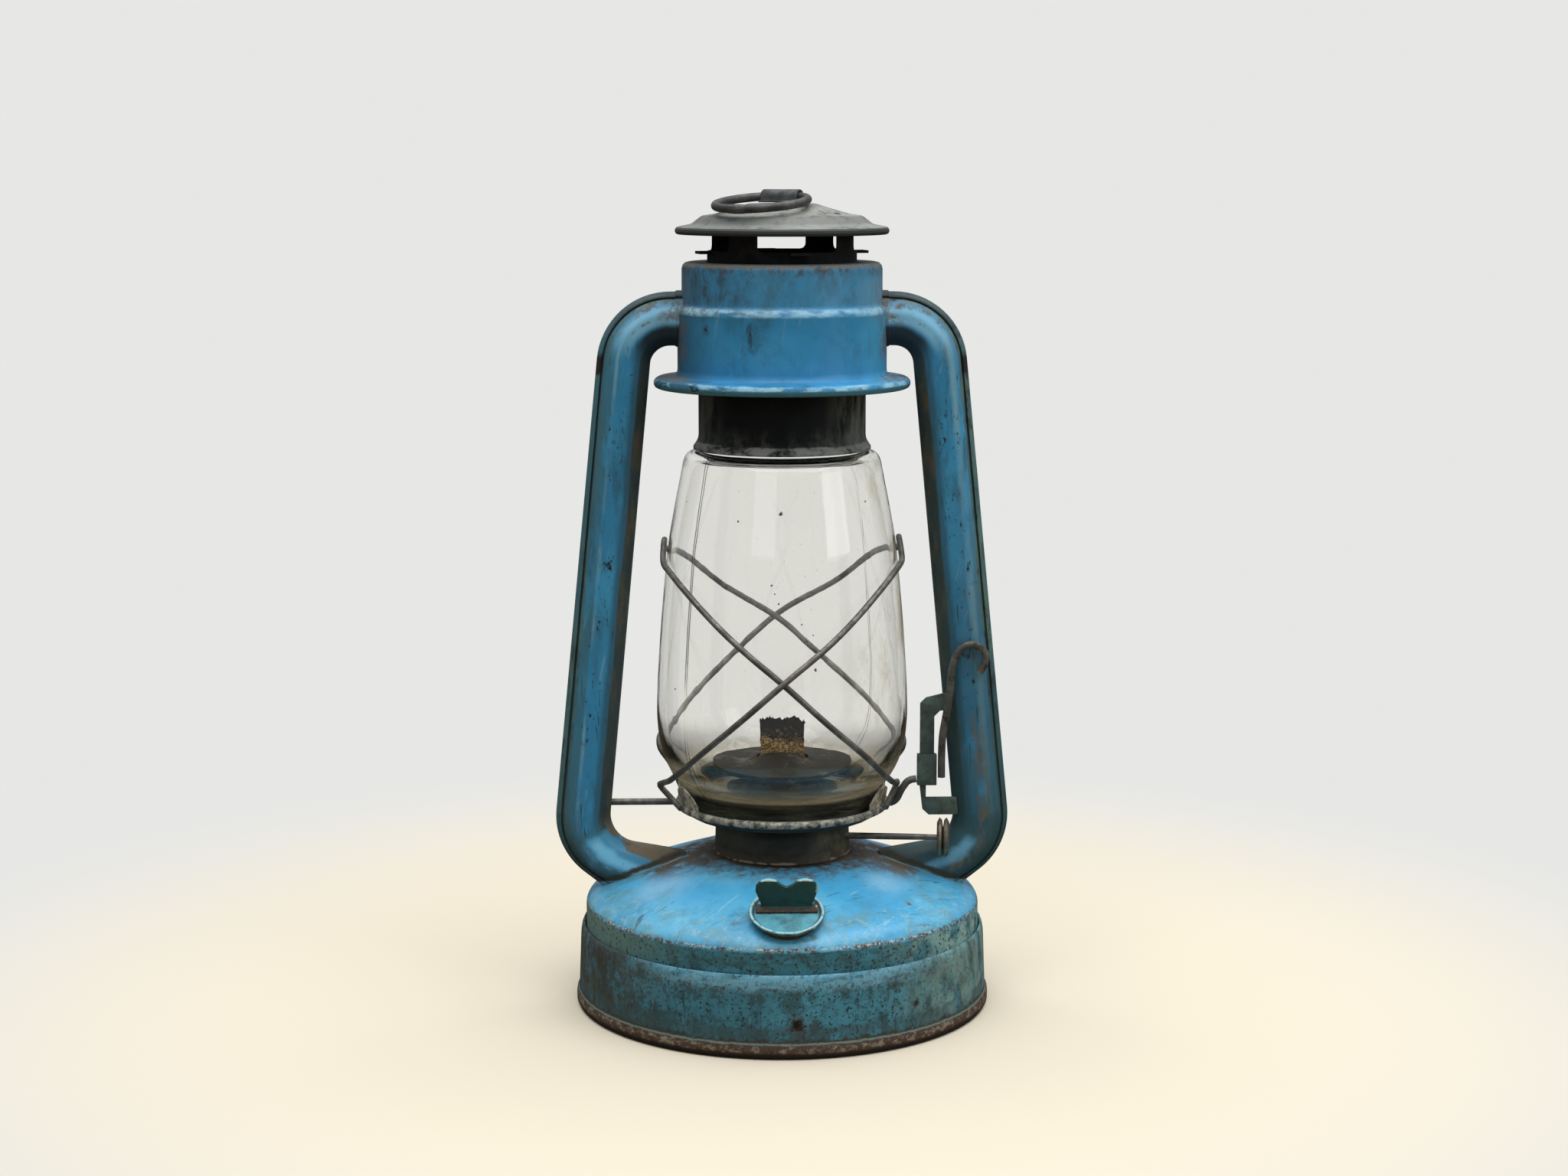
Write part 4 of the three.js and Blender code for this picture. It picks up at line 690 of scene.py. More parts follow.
    # painted highlight: a bright streak along the foot of each tube, weaker on the right tube
    glow = paint.times(
        (paint.maths("MULTIPLY", along, 0.001), 0.8, 1.1, 0.05), (far, -0.36, 0.02, 0.14, 0.05, 8),
    )
    less = paint.blendValue(paint.ramp(paint.x, 0, 0.02), 0.95, 0.5)
    paint.layer("7cc6e8", 0.28, glow, less, (0.16, 0.36, 9, 5, 1, 1))
    torn = paint.times((paint.z, 239.5, 247, 1.2, 2, 3), paint.ramp(wavy, 0.7, 0.82))
    paint.layer("1a1815", 0.9, torn, lift=-0.6)
    dents = paint.times((paint.z, 100, 226, 4, 3), (far, -0.3, 0.4, 0.1), (0.6, 0.65, 2.2, 7, 2.2, 4, 0.7))
    paint.layer("1d1c1a", 0.9, dents, lift=-0.4)
    height = paint.maths("MULTIPLY", above, 0.001)
    paint.layer("37352b", 0.8, (height, 0.8, 3.2, 0.8, 1.2, 4))
    paint.layer("7e9ca0", 0.5, (height, -2, 0.5, 0.3, 0.3, 3))
    material = paint.done(0.08, 2.4)
    coat(makeTube("airTubeRight", 1, "side_tube_right"), material)
    coat(makeTube("airTubeLeft", -1, "side_tube_left"), material)
    print("air tubes made")


# Drum with its bead and wide flange
drum = {
    "profile": [
        (28.4, 281.2), (34.8, 281.3), (36, 281), (36.9, 280.1), (37.25, 278.8), (37.3, 266.6), (37.55, 265.6),
        (38.3, 264.8), (38.9, 263.9), (39.15, 262.9), (39.1, 261.9), (38.95, 261), (38.95, 242),
        (39.1, 240.7), (39.8, 239.6), (41, 239.2), (44.5, 239), (46.3, 238.7), (47.3, 238.1), (47.85, 237.1),
        (47.85, 236.1), (47.4, 235.2), (46.6, 234.8), (45.7, 234.75), (45.2, 235.1), (45.2, 236.6),
        (44.6, 238), (41, 238.2), (39, 238.9), (38.1, 240.4), (38.1, 261), (36.6, 266.8), (36.4, 278.6),
        (35, 280.2), (28.4, 280.3), (28.4, 281.2),
    ],
}


def makeDrum():
    piece = turnProfile(drum["profile"], 160)
    finishPiece(piece, "airDrum", "frame", ["drum"], 30)
    look = {
        "colour": "2a83b6", "pale": "3590c2", "deep": "256788", "scuff": "9cc4d4",
        "rough": 0.36, "lean": 88, "hair": 0.12, "cuts": 0.12,
        "run": 1.6, "dust": 0.35, "specks": 0.035, "rust": 0.02,
    }
    paint = bluePaint("drumPaint", look)
    high = paint.zone(paint.z, 266, 290, 3, 3, 6)
    paint.layer("2f7393", 0.5, high, 0.5)
    paint.layer("27566c", 0.58, high, (0.42, 0.64, 8, 7, 1.6, 3, 0.72), 0.75)
    left = paint.ramp(paint.x, 0.004, -0.036)
    paint.layer("25333a", 0.65, high, left, (0.47, 0.6, 3, 7, 1.6, 8, 0.78), 0.8)
    # painted shade on the left side of the drum and painted light on its right side
    paint.layer("17465f", 0.6, paint.ramp(paint.x, -0.022, -0.038), 0.75)
    paint.layer("4aa0cc", 0.4, paint.ramp(paint.x, 0.022, 0.037), (paint.z, 238, 276, 2), 0.6)
    right = paint.times((paint.z, 262, 282, 2, 4, 6), paint.ramp(paint.x, 0.022, 0.036))
    paint.layer("5d7074", 0.6, right, (0.4, 0.58, 3.4, 7, 2, 6, 0.75), 0.7)
    top = paint.zone(paint.z, 277.5, 290, 1.2, 2.6, 4)
    paint.layer("3d3a33", 0.75, top, (0.47, 0.6, 3, 7, 1.4, 0, 0.75), 0.75)
    rim = paint.zone(paint.z, 279.8, 281.6, 0.35, 0.6, 2)
    paint.layer("6b655a", 0.6, rim, (0.36, 0.52, 2.4, 6), metal=0.2)
    # the bead: a painted highlight along it, and brown dirt on its left part
    step = paint.zone(paint.z, 262.6, 265.2, 0.6, 0.5, 5)
    paint.layer("93c8e0", 0.3, step, (0.36, 0.6, 9, 6, 0.3, 9), 0.8)
    paint.layer("645b4c", 0.75, step, paint.ramp(paint.x, 0.01, -0.03), (0.47, 0.58, 2.4, 7, 1, 5, 0.75), 0.8)
    side = paint.aside(0.0335, 0.038)
    wall = paint.zone(paint.z, 246, 276, 4, 3, 5)
    paint.layer("5c5245", 0.85, side, wall, (0.4, 0.58, 5, 7, 1, 0, 0.7), 0.8, lift=0.2)
    root = paint.times(paint.aside(0.03, 0.041), (paint.z, 238.2, 240.4, 0.8))
    paint.layer("605947", 0.8, root, (0.36, 0.54, 3, 6), 0.8)
    # painted shade on the underside of the flange's rolled rim
    paint.layer("33656f", 0.5, (paint.z, 234, 236.9, 0.5, 0.5, 5), 0.8)
    nicks = paint.times((paint.z, 235.6, 237.6, 0.3, 0.9, 3), (0.56, 0.63, 3, 6, (2, 1, 1)))
    paint.layer("1f2626", 0.7, nicks, lift=-0.3)
    # painted highlight along the top of the flange's rolled rim
    bright = paint.times((paint.z, 236.8, 238.4, 0.4, 0.5, 3), (0.44, 0.6, 9, 6, 0.4, 6))
    paint.layer("a2d4ea", 0.32, bright, 0.7)
    paint.layer("14181a", 0.8, paint.blot((-28.6, -27, 257.5), 1, 0.6), lift=-0.6)
    paint.layer("24404c", 0.6, paint.blot((-28.6, -27, 257.5), 3, 0.8, 0.8), 0.5)
    for spot in ((-11.2, -37.5, 251.5), (-12.6, -37.5, 255), (-12, -37.5, 258.5)):
        smear = paint.times(paint.blot(spot, 3.4, 1, 0.8), (0.42, 0.6, 1.8, 6, 2, 0, 0.7))
        paint.layer("1d3440", 0.6, smear, 0.75)
    coat(piece, paint.done(0.05, 2.2))
    under = copyNode("drum_floor")
    finishPiece(under, "drumUnderside", "frame", ["drum_floor"])
    soot = Finish("sootyBlue", "1c3442", 0.7)
    soot.layer("12181a", 0.85, (0.4, 0.6, 6, 4))
    coat(under, soot.done(0.1, shine=0.2))
    print("drum made")


# Hood: sleeve, chimney, cap, strap and ring
hood = {
    "sleeve": [
        (33.2, 212), (33.25, 212.8), (32.7, 213.7), (32, 214.7), (31.5, 215.8), (31.25, 217.2),
        (31.25, 239.9), (30.8, 240.4), (28.1, 240.4), (28.1, 239.7), (30.3, 239.6), (30.55, 217), (31.2, 215),
        (32.3, 213), (32.5, 212), (33.2, 212),
    ],
    "cap": [
        (0.0005, 302.7), (9, 302.7), (12.2, 302.6), (13.6, 302.25), (15, 301.75), (20, 300.25), (25, 298.85),
        (27.4, 298.5), (29.4, 298.2), (30.3, 297.7), (31.8, 296.6), (33.3, 295.4), (34.3, 295), (38, 294.3),
        (39, 293.95), (39.6, 293.3), (39.7, 292.4), (39.3, 291.6), (38.6, 291.35), (38, 291.7), (37.9, 292.7),
        (37.2, 293.4), (33.4, 294.2), (29.8, 297.2), (25, 297.9), (15, 300.9), (0.0005, 301.8),
    ],
}


def makeHood():
    sleeve = turnProfile(hood["sleeve"], 144)
    finishPiece(sleeve, "hoodSleeve", "hood", ["hood_sleeve"])
    flue = finishCopy("chimney", "hoodFlue", "hood", (0.12, 1, 50), 40)
    cap = turnProfile(hood["cap"], 144)
    finishPiece(cap, "rainCap", "hood", ["hood_cap"], 24)
    strap = finishCopy("hood_strap", "ringStrap", "hood", (0.2, 2, 35), 40)
    ring = roundWire("hood_ring", 0.02)
    finishPiece(ring, "hangingRing", "ring", ["hood_ring"], 60)
    soot = Finish("sleeveSoot", "0e1518", 0.6, 0.1)
    soot.layer("182024", 0.65, (0.46, 0.7, 13, 6, 2))
    low = soot.zone(soot.z, 200, 219, 4, 5, 7)
    soot.layer("4a504d", 0.66, low, (0.42, 0.64, 5, 7, 2, 0, 0.72), 0.8)
    # painted sheen: the sides of the sleeve are lighter grey, the right side more than the left
    sides = soot.either(soot.ramp(soot.x, 0.012, 0.031), soot.times(soot.ramp(soot.x, -0.02, -0.031), 0.6))
    soot.layer("727b7a", 0.55, sides, (0.34, 0.62, 5, 7, 4, 0, 0.7), 0.85)
    soot.layer("5e6361", 0.6, (0.56, 0.7, 2.4, 6, 10, 4, 0.7), sides, 0.6)
    # painted highlight along the flared skirt at the foot of the sleeve
    skirtHighlight = soot.times((soot.z, 211, 215, 0.4, 0.8, 4), (0.34, 0.56, 6, 6, 0.5, 9))
    soot.layer("8b9290", 0.5, skirtHighlight, 0.85)
    coat(sleeve, soot.done(0.08, 1.4, shine=0.2))
    dark = Finish("flueSoot", "17191c", 0.75, 0.1)
    dark.layer("26292a", 0.8, (0.45, 0.68, 7, 6))
    dark.layer("463a2e", 0.9, dark.specks(2, 0.08), lift=0.3)
    coat(flue, dark.done(0.16, 1.6, shine=0.2))
    grey = Finish("capTin", "83867f", 0.6, 0.15)
    reach = grey.radius()
    grey.layer("90928a", 0.6, (0.4, 0.68, 16, 6, 1, 3))
    grey.layer("4f5251", 0.7, (0.48, 0.68, 7, 6, 1, 5, 0.7))
    grey.layer("4b4e4e", 0.6, (reach, 29.2, 33.4, 0.8, 0.8, 4), 0.5)
    grey.layer("585a5a", 0.65, (reach, 0, 16, 2, 3, 4), 0.6)
    lip = grey.zone(reach, 33.6, 38.6, 0.6, 0.8, 4)
    grey.layer("7b7d7a", 0.55, lip, (0.4, 0.6, 4, 6, 1, 2, 0.7), 0.7)
    # painted shade: the cap darkens towards its left
    grey.layer("4c504f", 0.6, grey.ramp(grey.x, 0.008, -0.03), 0.45)
    # painted shade under the cap's rolled rim and on its outer face
    grey.layer("17191b", 0.7, (grey.z, 280, 293, 0.4, 0.4, 5))
    grey.layer("2f3334", 0.6, (reach, 38.9, 41, 0.3, 0.3, 5))
    grey.layer("2b2a28", 0.85, grey.specks(2, 0.05, 3), lift=-0.4)
    grey.layer("0d0e0f", 0.9, grey.blot((19.9, -13.7, 299.1), 1.7, 0.5), lift=-0.8)
    grey.layer("1b1a18", 0.9, grey.blot((30.2, -6.5, 297.6), 1, 0.6), lift=-0.8)
    coat(cap, grey.done(0.1, 1.6))
    dull = Finish("strapTin", "525556", 0.55, 0.3)
    dull.layer("3a3d3e", 0.7, (0.42, 0.62, 5, 6))
    dull.layer("30271f", 0.9, dull.specks(1.6, 0.08))
    coat(strap, dull.done(0.1))
    wire = Finish("ringIron", "3a3b3a", 0.5, 0.4)
    wire.layer("565653", 0.45, (0.42, 0.64, 5, 6))
    wire.layer("2a221b", 0.85, wire.specks(1.4, 0.1))
    coat(ring, wire.done(0.1, 0.8))
    print("hood made")


# Globe: blown glass, thick at its foot, with two faint mould seams
globe = {
    "outline": [
        (34.5, 73.8), (34.7, 77), (35.5, 80.3), (37.6, 83.6), (41.1, 87.6), (44.4, 93.6), (46.55, 101),
        (47.3, 107.5), (47.5, 113), (47.2, 123.4), (46.7, 132.1), (45.9, 143.9), (44.9, 155.6), (43.8, 167.2),
        (42.8, 176.4), (41.4, 184.6), (39.8, 193.3), (38.6, 199.1), (37.6, 204.3), (36.9, 207.6), (35.6, 210),
        (33.4, 211), (31.2, 211.3), (29.9, 210.8), (29.7, 209.6),
    ],
    "inside": [
        (29.9, 208.9), (31.4, 209.2), (33.4, 208.8), (34.9, 207), (35.9, 203.7), (36.9, 198.8), (38.2, 193),
        (39.9, 184.3), (41.3, 176.1), (42.4, 167), (43.5, 155.4), (44.5, 143.7), (45.3, 132), (45.7, 123.3),
        (45.8, 113.2), (45.4, 107.8), (44.4, 102), (41.9, 95.6), (38.3, 90.4), (34.6, 86.4), (32.4, 82.4),
        (31.6, 78.6), (31.5, 74.4),
    ],
    "steps": 180, "seams": (-141, 39), "seamLift": 1.003,
    "specks": (
        ((7.1, -31.3, 204.3), 1.0), ((-1.5, -39.8, 192.2), 0.9), ((-16.9, -36.9, 189.1), 0.5),
        ((10.9, -45.0, 135.8), 0.7), ((11.7, -44.5, 141.9), 0.5), ((7.8, -44.9, 146.2), 0.4),
        ((10.1, -44.2, 148.4), 0.4), ((-2.4, -44.3, 159.9), 0.5), ((-3.8, -43.9, 163.5), 0.4),
        ((-4.9, -43.6, 166.6), 0.5), ((-35.6, -17.3, 194.0), 0.4), ((5.9, -44.7, 152.4), 0.4),
        ((-40.2, -24.5, 125.0), 0.5), ((29.8, -25.9, 194.9), 0.5),
    ),
}


def makeGlobe():
    outside, inside = softLine(globe["outline"], 3), softLine(globe["inside"], 3)
    piece = turnProfile([*outside, *inside, (32.2, 73.8), outside[0]], globe["steps"])
    editAll(piece)
    bpy.ops.mesh.select_all(action="DESELECT")
    setMode("OBJECT")
    for vertex in piece.data.vertices:
        angle = math.degrees(math.atan2(vertex.co[1], vertex.co[0]))
        atSeam = any(abs(angle - seam) < 0.5 for seam in globe["seams"])
        vertex.select = atSeam and vertex.co[2] < 0.2 and vertex.normal[2] < 0.8
    setMode("EDIT")
    lift = globe["seamLift"]
    bpy.ops.transform.resize(value=(lift, lift, 1), center_override=(0, 0, 0))
    setMode("OBJECT")
    finishPiece(piece, "glassGlobe", "carrier", ["globe"], 60)
    glass = Finish("globeGlass", "f6f6f0", 0)
    glass.feed(glass.shader.inputs["Base Color"], (0.955, 0.95, 0.925, 1))
    glass.feed(glass.shader.inputs["Transmission Weight"], 1)
    glass.feed(glass.shader.inputs["IOR"], 1.45)
    glass.feed(glass.shader.inputs["Roughness"], glass.blendValue(glass.patches(0.5, 0.75, 30, 5), 0, 0.06))
    waves = glass.node(
        "ShaderNodeBump", {"Height": glass.noise(16, 2, 2), "Strength": 1.0, "Distance": 0.12 * mm},
    )
    glass.feed(glass.shader.inputs["Normal"], waves.outputs[0])
    film = glass.node("ShaderNodeBsdfDiffuse")
    low = glass.times(glass.ramp(glass.z, 0.112, 0.08), glass.aside(0.013, 0.03))
    cloud = glass.patches(0.48, 0.76, 17, 6, 2, 6, 0.65)
    side = glass.ramp(glass.x, 0, 0.045)
    dust = glass.maths("MULTIPLY", glass.either(glass.times(side, 0.7), low), glass.times(cloud, 0.1))
    smudge = glass.times((glass.x, 26, 60, 5, 7, 20), glass.ramp(glass.y, 0.01, -0.01), cloud, 0.5)
    spots = glass.times(glass.specks(1, 0.055, 4), 0.75)
    around = glass.maths("ARCTAN2", glass.y, glass.x)
    seams = 0
    for seam, half in zip(globe["seams"], (0.55, 0.25)):
        off = glass.maths("ABSOLUTE", glass.maths("SUBTRACT", around, math.radians(seam)))
        seams = glass.either(seams, glass.ramp(off, math.radians(half), math.radians(half / 3)))
    seams = glass.times(seams, (0.34, 0.5, 22, 4, 3, 2), 0.8)
    bands = glass.patches(0.36, 0.66, 4, 6, (6, 6, 1), 15, 0.65)
    foot = glass.times(glass.ramp(glass.z, 0.0915, 0.084), glass.blendValue(bands, 0.28, 0.7))
    dust = glass.either(dust, foot)
    # painted shade: a nearly opaque dark band round the bottom of the glass, where the dark plate and burner
    # lie behind it; the dark specks and seams share its colour
    grime = glass.times(glass.ramp(glass.z, 0.0845, 0.0815), glass.blendValue(bands, 0.7, 0.92))
    for place, size in globe["specks"]:
        spots = glass.either(spots, glass.times(glass.blot(place, size, 1, 0.5), 0.95))
    dark = glass.either(grime, glass.either(spots, seams))
    dirtAndShade = glass.either(glass.either(dust, smudge), dark)
    shadeAndSpotColour = glass.mixColours(bands, tint("222624"), tint("55564c"))
    filmAndShadeColour = glass.mixColours(glass.ramp(dark, 0, 0.2), tint("b3a98f"), shadeAndSpotColour)
    glass.feed(film.inputs["Color"], filmAndShadeColour)
    clear = glass.node("ShaderNodeBsdfTransparent", {"Color": (0.93, 0.93, 0.9, 1)})
    ray = glass.node("ShaderNodeLightPath")
    glassWithFilmAndShade = glass.mixShaders(dirtAndShade, glass.shader, film)
    glass.surface(glass.mixShaders(ray.outputs["Is Shadow Ray"], glassWithFilmAndShade, clear))
    coat(piece, glass.material)
    print("globe made")


# Carrier: plate, guard wires, rod, arm, slider and lever
carrier = {
    "rim": [
        (38.3, 76.3), (38.7, 75.5), (39.4, 75.1), (40.2, 75.4), (40.65, 76), (40.7, 76.8), (40.3, 77.5),
        (39.6, 77.85), (38.8, 77.75), (38.3, 77.2), (38.3, 76.3),
    ],
    "levelAbove": 150, "levelFrom": 20, "levelTo": 40, "rearRise": 4, "crestRise": 1,
}


def levelRear(place):
    # the guard wires leave their top corners level, behind the globe
    x, y, z = place
    share = min(1, max(0, (abs(x) / mm - carrier["levelFrom"]) / (carrier["levelTo"] - carrier["levelFrom"])))
    rise = carrier["rearRise"] if y > 0 else carrier["crestRise"]
    if z > carrier["levelAbove"] * mm:
        z += rise * share ** 2 * (3 - 2 * share) * mm
    return (x, y, z)


def makeCarrier():
    plate = copyNode("globe_plate")
    finishPiece(plate, "globePlate", "carrier", ["globe_plate"], 35)
    rim = turnProfile(carrier["rim"], 144)
    finishPiece(rim, "plateRim", "carrier", (), 60)
    steel = Finish("plateSteel", "55534a", 0.6, 0.1)
    reach = steel.radius()
    steel.layer("3f3d33", 0.7, (0.42, 0.64, 9, 6))
    inside = steel.zone(reach, 10, 38.2, 1, 1, 4)
    steel.layer("8f8269", 0.7, inside, (0.26, 0.5, 6, 7, 1, 0, 0.7))
    steel.layer("7d7159", 0.75, (steel.z, 78.4, 90, 0.6, 0.6, 3), 0.85)
    rolled = steel.zone(reach, 38.6, 41, 0.3, 0.5, 4)
    steel.layer("5d6261", 0.45, rolled, (0.42, 0.62, 8, 5, 1, 7), metal=0.2)
    # painted shade under the plate's rolled rim
    under = steel.times((steel.z, 72, 76.1, 0.3, 0.5, 5), (reach, 30, 42, 1))
    steel.layer("1e2b30", 0.5, under, 0.9)
    # painted highlight along the top of the rolled rim
    steel.layer("b5b5a8", 0.4, rolled, (0.42, 0.6, 3.4, 6, 1, 3, 0.7), 0.9, metal=0.2)
    steel.layer("35271c", 0.9, steel.specks(1.6, 0.07), lift=-0.3)
    coat(plate, steel.done(0.1, 1.6, shine=0.3))
    coat(rim, steel.material)

    wires = [
        roundBar("guard_wire_left", 1.15, levelRear), roundBar("guard_wire_right", 1.15, levelRear),
        roundBar("guide_rod", 1.3),
        roundBar("lift_arm", 1.4), roundBar("lift_lever", 1.45),
    ]
    names = ["guardWireFront", "guardWireCross", "guideRod", "liftArm", "fingerLever"]
    nodes = ["guard_wire_left", "guard_wire_right", "guide_rod", "lift_arm", "lift_lever"]
    wire = Finish("dullWire", "5f5e5a", 0.48, 0.6)
    wire.layer("86847d", 0.42, (0.42, 0.66, 7, 6))
    wire.layer("4a443c", 0.7, (0.5, 0.66, 4, 6, 1, 4, 0.7), 0.8, metal=0.3)
    wire.layer("54402c", 0.85, wire.specks(0.9, 0.06, 3), metal=0.1, lift=0.2)
    material = wire.done(0.12, 0.8)
    for piece, name, node in zip(wires, names, nodes):
        finishPiece(piece, name, "carrier", [node], 60)
        coat(piece, material)
    slider = finishCopy("lift_slider", "liftSlider", "carrier", (0.25, 2, 35), 40)
    bracket = finishCopy("lift_bracket", "liftBracket", "frame", (0.3, 2, 35), 40)
    dark = Finish("bracketPaint", "3f4f4c", 0.6, 0.1)
    dark.layer("526662", 0.55, (0.42, 0.66, 9, 6))
    dark.layer("3a3a33", 0.75, (0.48, 0.66, 5, 6, 1, 6, 0.7))
    dark.layer("4a3828", 0.9, dark.specks(1.4, 0.08, 3), lift=-0.3)
    material = dark.done(0.12, 1.2)
    coat(slider, material)
    coat(bracket, material)
    iron = Finish("leverIron", "505452", 0.5, 0.4)
    iron.layer("6d6b65", 0.45, (0.42, 0.66, 6, 6))
    iron.layer("38332c", 0.75, (0.5, 0.66, 4, 6, 1, 4, 0.7), metal=0.2)
    coat(wires[4], iron.done(0.12, 0.8))
    coat(wires[3], iron.material)
    print("carrier made")
    return wire.material


# Filler: rolled cap with a heart shaped wing, on its neck
filler = {
    "spot": (0, -62.025, 47.4), "tilt": 21,
    "cap": [
        (0.0005, 2.3), (12.6, 2.3), (13.2, 2.35), (13.7, 2.8), (13.8, 3.3), (13.5, 3.85), (12.95, 4),
        (12.4, 3.75), (12.15, 3.3), (11.9, 3.05), (0.0005, 3),
    ],
    "neck": [(9.9, -1.5), (10.8, -1.5), (11.4, -0.6), (11.2, 0.5), (10.8, 0.9), (9.9, 0.9), (9.9, -1.5)],
}


def onFiller(piece):
    piece.rotation_euler = (math.radians(filler["tilt"]), 0, 0)
    piece.location = [piece.location[0], filler["spot"][1] * mm, filler["spot"][2] * mm]


def makeFiller():
    lid = turnProfile(filler["cap"], 96)
    lid.data.attributes.new("fromMiddle", "FLOAT", "POINT")
    for vertex, value in zip(lid.data.vertices, lid.data.attributes["fromMiddle"].data):
        value.value = math.hypot(vertex.co[0], vertex.co[1])
    pickOnly(lid)
    bpy.ops.object.transform_apply(location=True, rotation=True, scale=True)
    onFiller(lid)
    finishPiece(lid, "fillerCap", "cap", ["filler_cap"], 40)
    neck = turnProfile(filler["neck"], 96)
    pickOnly(neck)
    bpy.ops.object.transform_apply(location=True, rotation=True, scale=True)
    onFiller(neck)
    finishPiece(neck, "fillerNeck", "frame", (), 40)
    wing = finishCopy("filler_wing", "fillerWing", "cap", (0.35, 2, 35), 40)
    look = {
        "colour": "4a93a4", "pale": "62a9b8", "deep": "34646f", "scuff": "b3cacd",
        "rough": 0.45, "lean": 20, "hair": 0.4, "cuts": 0.5,
        "run": 1, "dust": 0.6, "specks": 0.06, "rust": 0.03, "flat": True,
    }
    paint = bluePaint("fillerPaint", look)
    fromMiddle = paint.node("ShaderNodeAttribute", attribute_name="fromMiddle").outputs["Fac"]
    # painted shade in the groove inside the rolled rim
    groove = paint.zone(fromMiddle, 11.7, 12.5, 0.25, 0.2, 3)
    paint.layer("1f4046", 0.7, groove, 0.8)
    # painted highlight along the rolled rim
    rim = paint.zone(fromMiddle, 12.7, 13.5, 0.3, 0.3, 3)
    paint.layer("a9cdd2", 0.35, rim, (0.36, 0.5, 2, 6), 0.9)
    # painted shade on the outer edge under the rolled rim
    paint.layer("23474c", 0.6, (fromMiddle, 13.7, 15, 0.1, 0.2, 3))
    foot = paint.times((paint.y, -63.6, -58, 0.5, 0.8, 3), (0.3, 0.45, 1.8, 4))
    paint.layer("4a3527", 0.9, foot, (paint.x, -11.5, 11.5, 1), lift=0.4)
    coat(lid, paint.done(0.07, 1.6))
    teal = Finish("wingPaint", "1a4748", 0.45)
    teal.layer("1f4f4d", 0.45, (0.45, 0.68, 6, 6))
    teal.layer("153534", 0.6, (0.5, 0.66, 3, 6, 1, 5, 0.7), 0.7)
    # painted highlight along the top and right edges of the wing
    edge = teal.either((teal.z, 62.6, 70, 0.3, 0.8, 2), (teal.x, 10.6, 14, 0.3, 0.8, 2))
    teal.layer("9cb8b4", 0.45, edge)
    teal.layer("4a3527", 0.9, (teal.z, 45, 51.7, 0.4, 1.2, 2), (0.36, 0.5, 1.6, 5), lift=0.2)
    teal.layer("6f8d8a", 0.6, teal.specks(1.2, 0.05))
    coat(wing, teal.done(0.08, 1.2))
    ringDark = Finish("neckGrime", "2b3230", 0.8, 0.2)
    ringDark.layer("4a3f33", 0.9, (0.4, 0.6, 3, 4))
    coat(neck, ringDark.done(0.15))
    print("filler made")


# Burner: collar, basket, cone, wick and the drive with its knob
burner = {
    "hidden": (
        "wick_tube", "tank_lid", "filler_washer", "spur_wheel_left", "spur_wheel_right", "filler_neck",
    ),
    "collar": [
        (24.6, 57.95), (26.3, 57.95), (26.25, 58.5), (25.9, 59.4), (25.6, 62), (25.5, 66), (25.5, 71.8),
        (25.2, 72.2), (24.6, 72.2), (24.6, 57.95),
    ],
    "wick": {
        "size": (16, 2.2, 52), "top": 110.6, "turn": -5.9, "swell": (1.07, 1.15), "free": 96.6,
        "cuts": 30, "ragMiddle": 0.8,
        "rags": (("rag", "Z", 4.4, 3), ("fray", "Z", 4, 1), ("lumps", "NORMAL", 1.2, 3)),
    },
}


